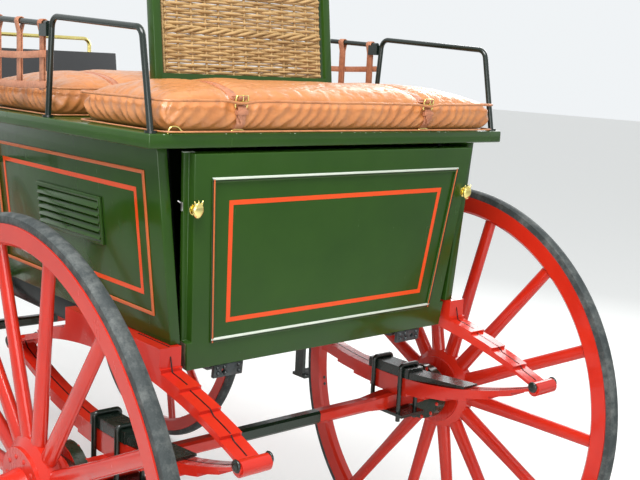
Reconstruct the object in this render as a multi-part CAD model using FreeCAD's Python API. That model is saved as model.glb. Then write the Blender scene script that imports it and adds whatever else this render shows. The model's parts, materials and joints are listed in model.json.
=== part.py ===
import FreeCAD, Part
import math
import os

# A four-wheeled dog cart for one horse: a sprung box body with back-to-back seats, a hinged
# tailboard, a steering forecarriage on a turntable, and a pair of shafts that rest on the ground.
# +X is the cart's right, +Y is forwards and +Z is up. It is modelled with Y = 0 at the rear axle,
# and moved along Y at the end, so that the origin is on the ground at the middle of its length.

V = FreeCAD.Vector
X_AXIS = V(1, 0, 0)
Z_AXIS = V(0, 0, 1)

# ---- wheels ----
REAR_WHEEL_R = 567.0
REAR_TRACK_BEYOND_SPRING = 188.0
REAR_SPOKES = 14
FRONT_WHEEL_R = 505.0
FRONT_TRACK_HALF = 600.0
FRONT_SPOKES = 12
WHEEL_BASE = 1445.0
CAMBER_DEG = 3.2
FIT_GAP = 0.3
TYRE_WIDTH = 30.0
TYRE_DEPTH = 20.0
TYRE_CROWN = 5.0
FELLOE_DEPTH = 45.0
FELLOE_WIDTH = 36.0
FELLOE_CHAMFER = 7.0
NAVE_R = 108.0
NAVE_WIDTH = 50.0
SPOKE_AT_NAVE = (15.0, 22.0)
SPOKE_AT_MIDDLE = (13.0, 17.0)
SPOKE_AT_RIM = (12.0, 16.0)
HUB_FLANGE_R = 90.0
HUB_FLANGE_T = 8.0
HUB_BARREL_R = 45.0
HUB_NECK_STEP = 3.0
HUB_OUTER_LENGTH = 112.0
HUB_CAP_R = 39.0
MOON_PLATE_R = 75.0
MOON_PLATE_T = 28.0
MOON_PLATE_FACE = 88.0
ARM_R = 17.0
ARM_CLEARANCE = 0.08
ARM_END_GAP = 4.0
COLLAR_GAP = 2.0
COLLAR_R = 30.0
COLLAR_T = 12.0

# ---- axles ----
AXLE_Z_ABOVE_HUB = 5.0
AXLE_SQUARE = 32.0
AXLE_SEAT_SQUARE = 45.0
AXLE_CHAMFER = 6.0
AXLE_SEAT_INNER = 380.0
AXLE_FLARE = 80.0
AXLE_SEAT_OVERRUN = 30.0

# ---- springs ----
LEAF_WIDTH = 50.0
LEAF_T = 7.0
LEAF_COUNT = 7
EYE_R = 16.0
EYE_LENGTH = 66.0
EYE_CAP_T = 4.0
SPRING_SILL_GAP = 4.0
REAR_SPRING_HALF = 480.0
REAR_SPRING_HEIGHT = 276.5
FRONT_SPRING_X = 360.0
FRONT_SPRING_HALF = 400.0
FRONT_SPRING_HEIGHT = 200.0
CLAMP_LENGTH = 150.0
CLAMP_T = 26.0
U_BOLT_R = 6.0
U_BOLT_SPREAD = 50.0
U_BOLT_BITE = 2.0
U_BOLT_BEND = 9.0
SADDLE_T = 8.0
WEDGE_LENGTH = 190.0
WEDGE_T = 5.0

# ---- body box ----
BODY_BLOCK_T = 12.0
BODY_BLOCK_LENGTH = 400.0
BODY_BLOCK_DEPTH = 44.0
SILL_TOP_TO_BOTTOM = 60.0
SILL_WIDTH = 56.0
SILL_LIP = 2.0
SIDE_T = 24.0
SIDE_INNER_AT_BOTTOM = 389.0
SIDE_SLOPE = 0.1062
BOX_REAR_Y = -188.0
BOX_FRONT_Y = 620.0
BODY_HEIGHT = 396.884087
SEAT_BOARD_T = 28.0
SEAT_OVERHANG = 44.85091
SEAT_BOARD_REAR_Y = -234.0
SEAT_BOARD_FRONT_Y = 640.0
POST_WIDTH = 40.0
POST_REAR_Y = -130.0
FLOOR_T = 18.0
FLOOR_UNDER_SILL_TOP = 30.0
FRONT_PANEL_T = 20.0

# ---- seats ----
CUSHION_IN = 25.0
CUSHION_T = 104.0
CUSHION_EDGE = 16.0
REAR_CUSHION_Y = (-242.0, 108.0)
FRONT_CUSHION_Y = (216.0, 600.0)
BACK_HALF = 262.0
BACK_FOOT_Y = 136.0
BACK_MEMBER = 22.0
BACK_DEPTH = 26.0
BACK_HEIGHT = 438.0
BACK_LEAN_DEG = 7.0
BACK_LOWER_RAIL_UP = 105.0
WICKER_T = 14.0
RAIL_R = 6.5
RAIL_IN = 16.0
RAIL_BEND = 24.0
ARM_FOOT_Y = -214.0
ARM_REAR_Y = -176.0
ARM_REAR_UP = 193.0
ARM_FRONT_Y = 190.0
ARM_FRONT_UP = 214.0
ARM_POST_Y = 208.0
GUARD_REAR_UP = 198.0
GUARD_FRONT_UP = 216.0
GUARD_FRONT_Y = 596.0
GUARD_FOOT_Y = 618.0
CLIP_SIZE = (20.0, 34.0, 26.0)
RAIL_FOOT_R = 12.0
RAIL_FOOT_T = 5.0

# ---- tailboard ----
TAIL_GAP_AT_FOOT = 10.04049
TAIL_GAP_AT_TOP = 20.61809
TAIL_GAP_OVER = 5.0
TAIL_T = 30.0
TAIL_REAR_Y = -185.0
TAIL_PIVOT_Y = -150.0
TAIL_PIVOT_UNDER_SILL = 70.115913
TAIL_ABOVE_PIVOT = 14.0
TAIL_AJAR_DEG = 6.2
FLANGE_WIDTH = 12.0
FLANGE_CUT = 20.0
FLANGE_START = 60.0
HINGE_X = 267.0
HINGE_PLATE_WIDTH = 74.0
HINGE_PLATE_T = 8.0
HINGE_PLATE_DROP = 28.0
HINGE_HOLE_R = 5.0
KNUCKLE_R = 9.0
KNUCKLE_LENGTH = 40.0
LUG_T = 10.0
LUG_GAP = 0.5
HINGE_PIN_R = 5.0
PIN_CLEARANCE = 0.08
KNOB_IN = 15.080357
KNOB_UP = 340.0
KNOB_STEM_R = 5.0
KNOB_STEM_LENGTH = 14.0
KNOB_HALF = (13.0, 7.0, 17.0)

# ---- driver's footwell ----
FOOTWELL_BEYOND_SILL = 9.0
FOOTWELL_T = 18.0
TOE_BOARD_BEHIND_AXLE = 5.0
TOE_BOARD_RUN = 290.0
TOE_BOARD_RISE = 168.0
CHEEK_T = 18.0
CHEEK_HEIGHT = 62.0
DASH_BEYOND_FOOTWELL = 5.0
DASH_HEIGHT = 400.0
DASH_T = 12.0
DASH_LEAN_DEG = 8.0
REIN_RAIL_HALF = 300.0
REIN_RAIL_RISE = 46.0
BRACKET_X = 300.0
BRACKET_T = 20.0

# ---- turntable and forecarriage ----
RING_OUTER = 330.0
RING_INNER = 285.0
RING_T = 10.0
RING_GAP = 0.5
UPPER_BED_LENGTH = 110.0
UPPER_BED_ABOVE_SILL = 42.096673
LOWER_BED_HALF = 400.0
LOWER_BED_WIDTH = 80.0
LOWER_BED_HEIGHT = 66.0
FUTCHELL_X = 190.0
FUTCHELL_WIDTH = 44.0
FUTCHELL_HEIGHT = 44.0
FUTCHELL_REAR = 290.0
FUTCHELL_FRONT = 400.0
KINGPIN_R = 15.0
KINGPIN_NUT_R = 28.0
KINGPIN_NUT_T = 18.0
SPLINTER_HALF = 480.0
SPLINTER_WIDTH = 56.0
SPLINTER_HEIGHT = 50.0
TRACE_BOLT_X = 250.0
TRACE_BOLT_R = 11.0
TRACE_BOLT_LENGTH = 45.0
TRACE_BOLT_HEAD_R = 20.0
TRACE_BOLT_HEAD_T = 7.0

# ---- shafts ----
SHAFT_X = 345.0
SHAFT_TIP_X = 265.0
SHAFT_LENGTH = 1980.0
SHAFT_RISE = 120.0
SHAFT_CREST = 0.72
SHAFT_BEND_POWER = 3
SHAFT_STATIONS = 7
SHAFT_CHORD = 0.01
SHAFT_REAR_R = 25.0
SHAFT_TIP_R = 16.0
SHAFT_BAR_AT = 190.0
SHAFT_BAR_R = 19.0
SHAFT_EYE_R = 17.0
SHAFT_EYE_LENGTH = 34.0
SHAFT_PIN_R = 8.0
SHAFT_PIN_AHEAD = 40.0
SHAFT_START = 46.0
FERRULE_WALL = 3.0
FERRULE_LENGTH = 70.0
JAW_T = 12.0
JAW_GAP = 0.6
JAW_HEIGHT = 44.0

# ---- steps and sockets ----
STEP_BEYOND_WHEEL = 109.0
STEP_BAR_WIDTH = 40.0
STEP_BAR_T = 12.0
STEP_OUT = 672.0
STEP_TREAD_Z = 412.0
STEP_TREAD_T = 10.0
STEP_TREAD_X = 84.0
STEP_TREAD_Y = 64.0
LAMP_SOCKET_BORE_R = 12.5
LAMP_SOCKET_WALL = 4.0
LAMP_SOCKET_LENGTH = 60.0
LAMP_SOCKET_OUT = 140.0
LAMP_SOCKET_Y = 570.0
LAMP_SOCKET_UNDER_SEAT = 129.0
LAMP_ARM = 16.0
WHIP_BORE_R = 14.0
WHIP_WALL = 4.0
WHIP_LENGTH = 130.0
WHIP_DEPTH = 110.0
WHIP_UP = 120.0

# ---- worked out from the sizes above ----
SILL_OUTER = SIDE_INNER_AT_BOTTOM + SILL_LIP
REAR_SPRING_X = SILL_OUTER + SPRING_SILL_GAP + LEAF_WIDTH / 2
REAR_TRACK_HALF = REAR_SPRING_X + REAR_TRACK_BEYOND_SPRING
SEAT_BOARD_HALF = SIDE_INNER_AT_BOTTOM + BODY_HEIGHT * SIDE_SLOPE + SIDE_T + SEAT_OVERHANG
CUSHION_HALF = SEAT_BOARD_HALF - CUSHION_IN
RAIL_X = SEAT_BOARD_HALF - RAIL_IN
FOOTWELL_HALF = SILL_OUTER + FOOTWELL_BEYOND_SILL
DASH_HALF = FOOTWELL_HALF + DASH_BEYOND_FOOTWELL
TOE_BOARD_FRONT_Y = WHEEL_BASE - TOE_BOARD_BEHIND_AXLE
FOOTWELL_FRONT_Y = TOE_BOARD_FRONT_Y - TOE_BOARD_RUN
CAMBER = math.radians(CAMBER_DEG)
REAR_HUB_Z = REAR_WHEEL_R * math.cos(CAMBER)
FRONT_HUB_Z = FRONT_WHEEL_R * math.cos(CAMBER)
REAR_AXLE_Z = REAR_HUB_Z + AXLE_Z_ABOVE_HUB
FRONT_AXLE_Z = FRONT_HUB_Z + AXLE_Z_ABOVE_HUB
REAR_SPRING_BOTTOM = REAR_AXLE_Z + AXLE_SEAT_SQUARE / 2
FRONT_SPRING_BOTTOM = FRONT_AXLE_Z + AXLE_SEAT_SQUARE / 2
PACK_T = LEAF_T * LEAF_COUNT
REAR_SPRING_TOP = REAR_SPRING_BOTTOM + REAR_SPRING_HEIGHT
FRONT_SPRING_TOP = FRONT_SPRING_BOTTOM + FRONT_SPRING_HEIGHT
SILL_TOP = REAR_SPRING_TOP + BODY_BLOCK_T
SILL_BOTTOM = SILL_TOP - SILL_TOP_TO_BOTTOM
FLOOR_TOP = SILL_TOP - FLOOR_UNDER_SILL_TOP
SEAT_BOARD_BOTTOM = SILL_TOP + BODY_HEIGHT
SEAT_TOP = SEAT_BOARD_BOTTOM + SEAT_BOARD_T
BACK_LOWER_RAIL_Z = SEAT_TOP + BACK_LOWER_RAIL_UP
ARM_REAR_Z = SEAT_TOP + ARM_REAR_UP
ARM_FRONT_Z = SEAT_TOP + ARM_FRONT_UP
GUARD_REAR_Z = SEAT_TOP + GUARD_REAR_UP
GUARD_FRONT_Z = SEAT_TOP + GUARD_FRONT_UP
LAMP_SOCKET_Z = SEAT_BOARD_BOTTOM - LAMP_SOCKET_UNDER_SEAT
LOWER_BED_TOP = FRONT_SPRING_TOP + LOWER_BED_HEIGHT
LOWER_RING_BOTTOM = LOWER_BED_TOP + FUTCHELL_HEIGHT
UPPER_RING_BOTTOM = LOWER_RING_BOTTOM + RING_T + RING_GAP
UPPER_BED_BOTTOM = UPPER_RING_BOTTOM + RING_T
UPPER_BED_TOP = SILL_TOP + UPPER_BED_ABOVE_SILL
STEP_Y = REAR_WHEEL_R + STEP_BEYOND_WHEEL
SILL_FRONT_Y = WHEEL_BASE - UPPER_BED_LENGTH / 2
SPLINTER_Y = WHEEL_BASE + FUTCHELL_FRONT - SPLINTER_WIDTH / 2
SPLINTER_BOTTOM = LOWER_RING_BOTTOM
SHAFT_PIVOT_Y = SPLINTER_Y + SPLINTER_WIDTH / 2 + SHAFT_PIN_AHEAD
SHAFT_PIVOT_Z = SPLINTER_BOTTOM + SPLINTER_HEIGHT / 2
TAIL_PIVOT_Z = SILL_TOP - TAIL_PIVOT_UNDER_SILL
TAIL_BOTTOM_Z = TAIL_PIVOT_Z + TAIL_ABOVE_PIVOT
TAIL_TOP_Z = SEAT_BOARD_BOTTOM - TAIL_GAP_OVER
TAIL_HEIGHT = TAIL_TOP_Z - TAIL_BOTTOM_Z


def box(low, high):
    """A block between two corners."""
    return Part.makeBox(high[0] - low[0], high[1] - low[1], high[2] - low[2], V(*low))


def rod(radius, start, end):
    """A round bar between two points."""
    along = V(*end) - V(*start)
    return Part.makeCylinder(radius, along.Length, V(*start), along)


def plate_across(outline, x_low, x_high):
    """A (y, z) outline given a thickness along X."""
    points = [V(x_low, y, z) for y, z in outline]
    face = Part.Face(Part.makePolygon(points + points[:1]))
    return face.extrude(V(x_high - x_low, 0, 0))


def plate_along(outline, y_low, y_high):
    """An (x, z) outline given a thickness along Y."""
    points = [V(x, y_low, z) for x, z in outline]
    face = Part.Face(Part.makePolygon(points + points[:1]))
    return face.extrude(V(0, y_high - y_low, 0))


def mirrored(shape):
    """The same piece on the other side of the cart."""
    return shape.mirror(V(0, 0, 0), X_AXIS)


def both_sides(shape):
    """A piece and its mirror image, as two solids of one node."""
    return Part.makeCompound([shape, mirrored(shape)])


def joined(shapes):
    """One solid from pieces that meet."""
    first = shapes[0]
    return first.multiFuse(shapes[1:]).removeSplitter()


def revolved(profile):
    """A ring or barrel about the X axis from an (x, radius) outline."""
    points = [V(x, radius, 0) for x, radius in profile]
    face = Part.Face(Part.makePolygon(points + points[:1]))
    return face.revolve(V(0, 0, 0), X_AXIS, 360)


def bent_rod(points, radius, bend):
    """A round bar along straight runs joined by tangent arcs."""
    corners = [V(*point) for point in points]
    edges = []
    begin = corners[0]
    for before, corner, after in zip(corners, corners[1:], corners[2:]):
        back = (before - corner).normalize()
        ahead = (after - corner).normalize()
        half_angle = back.getAngle(ahead) / 2
        setback = bend / math.tan(half_angle)
        arc_start = corner + back * setback
        arc_end = corner + ahead * setback
        inward = (back + ahead).normalize()
        arc_middle = corner + inward * (bend / math.sin(half_angle) - bend)
        edges.append(Part.LineSegment(begin, arc_start).toShape())
        edges.append(Part.Arc(arc_start, arc_middle, arc_end).toShape())
        begin = arc_end
    edges.append(Part.LineSegment(begin, corners[-1]).toShape())
    start_direction = corners[1] - corners[0]
    section = Part.Wire([Part.makeCircle(radius, corners[0], start_direction)])
    return Part.Wire(edges).makePipeShell([section], True, False)


# ---------------------------------------------------------------- wheels

def spoke_section(along, half_sizes):
    """An oval across a spoke that stands along +Z, half_sizes being (axial, tangential)."""
    axial, tangential = half_sizes
    oval = Part.Ellipse(V(0, tangential, along), V(axial, 0, along), V(0, 0, along))
    return Part.Wire([oval.toShape()])


def wheel_woodwork(radius, spokes):
    """Felloe ring, tapered spokes and the ring of spoke feet, all one solid about X."""
    rim_outer = radius - TYRE_DEPTH
    rim_inner = rim_outer - FELLOE_DEPTH
    half = FELLOE_WIDTH / 2
    felloe = revolved([
        (-half, rim_outer), (half, rim_outer), (half, rim_inner + FELLOE_CHAMFER),
        (half - FELLOE_CHAMFER, rim_inner), (FELLOE_CHAMFER - half, rim_inner),
        (-half, rim_inner + FELLOE_CHAMFER),
    ])
    nave_half = NAVE_WIDTH / 2
    nave = revolved([
        (-nave_half, HUB_BARREL_R), (nave_half, HUB_BARREL_R),
        (nave_half, HUB_FLANGE_R), (nave_half / 2, NAVE_R),
        (-nave_half / 2, NAVE_R), (-nave_half, HUB_FLANGE_R),
    ])
    foot = (HUB_BARREL_R + HUB_FLANGE_R) / 2
    middle = (NAVE_R + rim_inner) / 2
    sections = [
        spoke_section(foot, SPOKE_AT_NAVE),
        spoke_section(middle, SPOKE_AT_MIDDLE),
        spoke_section(rim_inner + FELLOE_CHAMFER, SPOKE_AT_RIM),
    ]
    spoke = Part.makeLoft(sections, True, True)
    around = []
    for index in range(spokes):
        copy = spoke.copy()
        copy.rotate(V(0, 0, 0), X_AXIS, 360.0 * (index + 0.5) / spokes)
        around.append(copy)
    return nave.multiFuse([felloe] + around)


def wheel_tyre(radius):
    """A solid tyre with a crowned tread, about X."""
    half = TYRE_WIDTH / 2
    shoulder = radius - TYRE_CROWN
    bed = radius - TYRE_DEPTH
    crown = Part.Arc(V(half, shoulder, 0), V(0, radius, 0), V(-half, shoulder, 0)).toShape()
    sides = [
        Part.LineSegment(V(-half, shoulder, 0), V(-half, bed, 0)).toShape(),
        Part.LineSegment(V(-half, bed, 0), V(half, bed, 0)).toShape(),
        Part.LineSegment(V(half, bed, 0), V(half, shoulder, 0)).toShape(),
    ]
    return Part.Face(Part.Wire([crown] + sides)).revolve(V(0, 0, 0), X_AXIS, 360)


def wheel_hub():
    """Flanged metal hub with its moon plate inboard and a turned cap outboard, about X."""
    nave_half = NAVE_WIDTH / 2
    flange = nave_half + HUB_FLANGE_T
    neck = HUB_BARREL_R + HUB_NECK_STEP
    bore = ARM_R + ARM_CLEARANCE
    moon_outer = MOON_PLATE_T - MOON_PLATE_FACE
    bore_end = HUB_OUTER_LENGTH - 2 * HUB_FLANGE_T
    return revolved([
        (-MOON_PLATE_FACE, bore), (-MOON_PLATE_FACE, MOON_PLATE_R),
        (moon_outer, MOON_PLATE_R), (moon_outer, neck),
        (-flange, neck), (-flange, HUB_FLANGE_R), (-nave_half, HUB_FLANGE_R),
        (-nave_half, HUB_BARREL_R), (nave_half, HUB_BARREL_R),
        (nave_half, HUB_FLANGE_R), (flange, HUB_FLANGE_R), (flange, neck),
        (bore_end - HUB_FLANGE_T, HUB_CAP_R), (HUB_OUTER_LENGTH - HUB_FLANGE_T, HUB_CAP_R),
        (HUB_OUTER_LENGTH, HUB_CAP_R - HUB_FLANGE_T), (HUB_OUTER_LENGTH, 0),
        (bore_end, 0), (bore_end, bore),
    ])


def set_wheel(shape, track_half, hub_z, axle_y):
    """Tilts a wheel piece by the camber and puts it on the right-hand end of its axle."""
    shape.rotate(V(0, 0, 0), V(0, 1, 0), CAMBER_DEG)
    shape.translate(V(track_half, axle_y, hub_z))
    return shape


def make_wheels(end, radius, spokes, track_half, hub_z, axle_y):
    """The three nodes of each of the two wheels at one end of the cart."""
    pieces = {}
    for name, shape in (("tyre", wheel_tyre(radius)), ("spokes", wheel_woodwork(radius, spokes)),
                        ("hub", wheel_hub())):
        right = set_wheel(shape, track_half, hub_z, axle_y)
        pieces[end + "_wheel_right_" + name] = right
        pieces[end + "_wheel_left_" + name] = mirrored(right)
    return pieces


# ---------------------------------------------------------------- axles and springs

def square_section(x, z, size):
    """A chamfered square across the axle at x."""
    half = size / 2
    cut = half - AXLE_CHAMFER
    corners = [(half, cut), (cut, half), (-cut, half), (-half, cut),
               (-half, -cut), (-cut, -half), (cut, -half), (half, -cut)]
    points = [V(x, y, z + up) for y, up in corners]
    return Part.makePolygon(points + points[:1])


def axle_arm(track_half, hub_z):
    """The round arm that the right wheel turns on, with its collar."""
    arm_end = HUB_OUTER_LENGTH - 2 * HUB_FLANGE_T - ARM_END_GAP
    collar_end = -MOON_PLATE_FACE - COLLAR_GAP
    root = collar_end - COLLAR_T
    arm = rod(ARM_R, (root - AXLE_SEAT_SQUARE, 0, 0), (arm_end, 0, 0))
    collar = rod(COLLAR_R, (root, 0, 0), (collar_end, 0, 0))
    both = joined([arm, collar])
    both.rotate(V(0, 0, 0), V(0, 1, 0), CAMBER_DEG)
    both.translate(V(track_half, 0, hub_z))
    return both


def make_axle(track_half, hub_z, axle_z, spring_x):
    """One axle bed: square in the middle, deeper at the spring seats, round at the arms."""
    seat_inner = spring_x - REAR_SPRING_X + AXLE_SEAT_INNER
    seat_outer = track_half - MOON_PLATE_FACE - COLLAR_GAP - COLLAR_T / 2
    middle = Part.makeLoft([
        square_section(AXLE_FLARE - seat_inner, axle_z, AXLE_SQUARE),
        square_section(seat_inner - AXLE_FLARE, axle_z, AXLE_SQUARE),
    ], True, True)
    flare = Part.makeLoft([
        square_section(seat_inner - AXLE_FLARE, axle_z, AXLE_SQUARE),
        square_section(seat_inner, axle_z, AXLE_SEAT_SQUARE),
    ], True, True)
    seat = Part.makeLoft([
        square_section(seat_inner, axle_z, AXLE_SEAT_SQUARE),
        square_section(seat_outer, axle_z, AXLE_SEAT_SQUARE),
    ], True, True)
    arm = axle_arm(track_half, hub_z)
    ends = [flare, seat, arm]
    return joined([middle] + ends + [mirrored(shape) for shape in ends])


def leaf(half_span, radius, centre_z, x_low):
    """One curved spring leaf, half_span long each way, its top face at the given radius."""
    outer = radius + LEAF_T
    angle = math.asin(half_span / outer)

    def at(size, turn):
        return V(x_low, size * math.sin(turn), centre_z - size * math.cos(turn))

    edges = [
        Part.Arc(at(radius, -angle), at(radius, 0), at(radius, angle)).toShape(),
        Part.LineSegment(at(radius, angle), at(outer, angle)).toShape(),
        Part.Arc(at(outer, angle), at(outer, 0), at(outer, -angle)).toShape(),
        Part.LineSegment(at(outer, -angle), at(radius, -angle)).toShape(),
    ]
    return Part.Face(Part.Wire(edges)).extrude(V(LEAF_WIDTH, 0, 0))


def lower_pack(spring_x, half_span, eye_z, bottom_z):
    """The lower half of an elliptic spring: stepped leaves that curve up to the eyes."""
    main_z = bottom_z + PACK_T - LEAF_T / 2
    sagitta = eye_z - main_z
    radius = (half_span ** 2 + sagitta ** 2) / (2 * sagitta)
    centre_z = main_z + radius
    step = half_span / LEAF_COUNT
    leaves = []
    for index in range(LEAF_COUNT):
        leaf_radius = radius - LEAF_T / 2 + index * LEAF_T
        leaves.append(leaf(half_span - index * step, leaf_radius, centre_z, spring_x - LEAF_WIDTH / 2))
    return leaves


def make_spring(spring_x, half_span, bottom_z, height):
    """A full elliptic spring: two packs that share their eyes, as one solid."""
    eye_z = bottom_z + height / 2
    leaves = lower_pack(spring_x, half_span, eye_z, bottom_z)
    over = [shape.mirror(V(0, 0, eye_z), Z_AXIS) for shape in leaves]
    half_eye = EYE_LENGTH / 2
    eyes = []
    for y in (-half_span, half_span):
        eyes.append(rod(EYE_R, (spring_x - half_eye, y, eye_z), (spring_x + half_eye, y, eye_z)))
        cap = half_eye + EYE_CAP_T
        eyes.append(rod(EYE_R - EYE_CAP_T, (spring_x - cap, y, eye_z), (spring_x + cap, y, eye_z)))
    return joined(leaves + over + eyes)


def leaf_rise(half_span, height, along):
    """How far the main leaf has risen at a distance along it from its middle."""
    return (height / 2 - PACK_T + LEAF_T) * (along / half_span) ** 2 + FIT_GAP


def make_clamp(spring_x, half_span, bottom_z, height, axle_z):
    """Top block, two U-bolts and the saddle plate that hold a spring to its axle."""
    block_bottom = bottom_z + PACK_T + leaf_rise(half_span, height, CLAMP_LENGTH / 2)
    block_top = block_bottom + CLAMP_T
    saddle_top = axle_z - AXLE_SEAT_SQUARE / 2
    half = LEAF_WIDTH / 2 + U_BOLT_BITE
    leg = LEAF_WIDTH / 2 + U_BOLT_R + FIT_GAP
    plate_half = leg + 2 * U_BOLT_R
    crown = block_top + U_BOLT_R - FIT_GAP
    pieces = [
        box((spring_x - half, -CLAMP_LENGTH / 2, block_bottom),
            (spring_x + half, CLAMP_LENGTH / 2, block_top)),
        box((spring_x - plate_half, -CLAMP_LENGTH / 2, saddle_top - SADDLE_T),
            (spring_x + plate_half, CLAMP_LENGTH / 2, saddle_top)),
    ]
    tail = saddle_top - 3 * SADDLE_T
    for y in (-U_BOLT_SPREAD, U_BOLT_SPREAD):
        pieces.append(bent_rod([
            (spring_x - leg, y, tail), (spring_x - leg, y, crown),
            (spring_x + leg, y, crown), (spring_x + leg, y, tail),
        ], U_BOLT_R, U_BOLT_BEND))
    return joined(pieces)


def make_wedge(spring_x, half_span, bottom_z, height):
    """The tapered leaf that lies on the spring behind its clamp."""
    top = bottom_z + PACK_T
    start = -CLAMP_LENGTH / 2
    end = start - WEDGE_LENGTH
    start_z = top + leaf_rise(half_span, height, start)
    end_z = top + leaf_rise(half_span, height, end)
    outline = [(start, start_z), (start, top + CLAMP_T - WEDGE_T),
               (end, end_z + WEDGE_T), (end, end_z)]
    return plate_across(outline, spring_x - LEAF_WIDTH / 2, spring_x + LEAF_WIDTH / 2)


# ---------------------------------------------------------------- body

def side_inner(z):
    """Distance from the middle to a body side's inner face at height z."""
    return SIDE_INNER_AT_BOTTOM + (z - SILL_TOP) * SIDE_SLOPE


def sloped(inner_offset, outer_offset, y_low, y_high):
    """A right-hand panel or post that follows the slope of the body side."""
    low = side_inner(SILL_TOP)
    high = side_inner(SEAT_BOARD_BOTTOM)
    outline = [
        (low + inner_offset, SILL_TOP), (low + outer_offset, SILL_TOP),
        (high + outer_offset, SEAT_BOARD_BOTTOM), (high + inner_offset, SEAT_BOARD_BOTTOM),
    ]
    return plate_along(outline, y_low, y_high)


def make_body():
    """The box: sills, floor, sides, posts, heel board, seat board."""
    side = sloped(0, SIDE_T, BOX_REAR_Y, BOX_FRONT_Y)
    sill = box((SILL_OUTER - SILL_WIDTH, POST_REAR_Y, SILL_BOTTOM), (SILL_OUTER, SILL_FRONT_Y, SILL_TOP))
    inner = SILL_OUTER - SILL_WIDTH
    panel_rear = BOX_FRONT_Y - FRONT_PANEL_T
    floor_bottom = FLOOR_TOP - FLOOR_T
    floor = box((-inner, POST_REAR_Y, floor_bottom), (inner, panel_rear, FLOOR_TOP))
    rear_post = sloped(-POST_WIDTH, 0, POST_REAR_Y, POST_REAR_Y + POST_WIDTH)
    front_post = sloped(-POST_WIDTH, 0, panel_rear - POST_WIDTH, panel_rear)
    posts = [rear_post, front_post]
    low = side_inner(SILL_TOP)
    high = side_inner(SEAT_BOARD_BOTTOM)
    front_outline = [(-low, SILL_TOP), (low, SILL_TOP), (high, SEAT_BOARD_BOTTOM), (-high, SEAT_BOARD_BOTTOM)]
    heel_board = plate_along(front_outline, panel_rear, BOX_FRONT_Y)
    heel_foot = box((-inner, panel_rear, floor_bottom), (inner, BOX_FRONT_Y, SILL_TOP))
    seat = box((-SEAT_BOARD_HALF, SEAT_BOARD_REAR_Y, SEAT_BOARD_BOTTOM),
               (SEAT_BOARD_HALF, SEAT_BOARD_FRONT_Y, SEAT_TOP))
    return {
        "body_side_right": side,
        "body_side_left": mirrored(side),
        "bottom_sills": both_sides(sill),
        "body_floor": floor,
        "corner_posts": Part.makeCompound(posts + [mirrored(post) for post in posts]),
        "heel_board": joined([heel_board, heel_foot]),
        "seat_board": seat,
    }


def make_cushion(y_low, y_high):
    """A plain closed pad of a cushion's outer size."""
    low = (-CUSHION_HALF, y_low, SEAT_TOP + FIT_GAP)
    high = (CUSHION_HALF, y_high, SEAT_TOP + FIT_GAP + CUSHION_T)
    pad = box(low, high)
    return pad.makeFillet(CUSHION_EDGE, pad.Edges)


def make_backrest():
    """The green frame between the seats and the woven panel inside it."""
    top = BACK_HEIGHT
    half_depth = BACK_DEPTH / 2
    inner = BACK_HALF - BACK_MEMBER
    lower = BACK_LOWER_RAIL_Z - SEAT_TOP
    right = box((inner, -half_depth, 0), (BACK_HALF, half_depth, top))
    top_rail = box((-inner, -half_depth, top - BACK_MEMBER), (inner, half_depth, top))
    low_rail = box((-inner, -half_depth, lower - BACK_MEMBER), (inner, half_depth, lower))
    frame = joined([right, mirrored(right), top_rail, low_rail])
    panel = box((-inner, -WICKER_T / 2, lower), (inner, WICKER_T / 2, top - BACK_MEMBER))
    lean = V(0, half_depth, 0)
    for shape in (frame, panel):
        shape.rotate(lean, X_AXIS, -BACK_LEAN_DEG)
        shape.translate(V(0, BACK_FOOT_Y, SEAT_TOP))
    trim = box((-BACK_HALF, BACK_FOOT_Y - BACK_DEPTH, SEAT_TOP - BACK_DEPTH),
               (BACK_HALF, BACK_FOOT_Y + 2 * BACK_DEPTH, SEAT_TOP))
    return {"backrest_frame": frame.cut(trim), "wicker_panel": panel}


def make_side_rail():
    """The right-hand iron rail: rear arm, its post, the front guard and the clip between."""
    arm = bent_rod([
        (RAIL_X, ARM_FOOT_Y, SEAT_TOP), (RAIL_X, ARM_REAR_Y, ARM_REAR_Z),
        (RAIL_X, ARM_FRONT_Y, ARM_FRONT_Z), (RAIL_X, ARM_POST_Y, SEAT_TOP),
    ], RAIL_R, RAIL_BEND)
    guard = bent_rod([
        (RAIL_X, ARM_POST_Y, GUARD_REAR_Z), (RAIL_X, GUARD_FRONT_Y, GUARD_FRONT_Z),
        (RAIL_X, GUARD_FOOT_Y, SEAT_TOP),
    ], RAIL_R, RAIL_BEND)
    width, length, height = CLIP_SIZE
    clip = box((RAIL_X - width / 2, ARM_POST_Y - length / 4, GUARD_REAR_Z - height),
               (RAIL_X + width / 2, ARM_POST_Y + length * 3 / 4, GUARD_REAR_Z))
    feet = [rod(RAIL_FOOT_R, (RAIL_X, y, SEAT_TOP), (RAIL_X, y, SEAT_TOP + RAIL_FOOT_T))
            for y in (ARM_POST_Y, ARM_FOOT_Y, GUARD_FOOT_Y)]
    below = box((RAIL_X - RAIL_FOOT_R, SEAT_BOARD_REAR_Y, SEAT_BOARD_BOTTOM),
                (RAIL_X + RAIL_FOOT_R, SEAT_BOARD_FRONT_Y, SEAT_TOP))
    return joined([arm, guard, clip] + feet).cut(below)


# ---------------------------------------------------------------- tailboard

def tail_half(z):
    """Half of the tailboard's width at height z."""
    up = (z - TAIL_BOTTOM_Z) / TAIL_HEIGHT
    return side_inner(z) - TAIL_GAP_AT_FOOT - (TAIL_GAP_AT_TOP - TAIL_GAP_AT_FOOT) * up


def tail_outline(inset, z_low, z_high):
    """The tailboard's trapezium between two heights, its edges inset."""
    low = tail_half(z_low) - inset
    high = tail_half(z_high) - inset
    return [(-low, z_low), (low, z_low), (high, z_high), (-high, z_high)]


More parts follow.
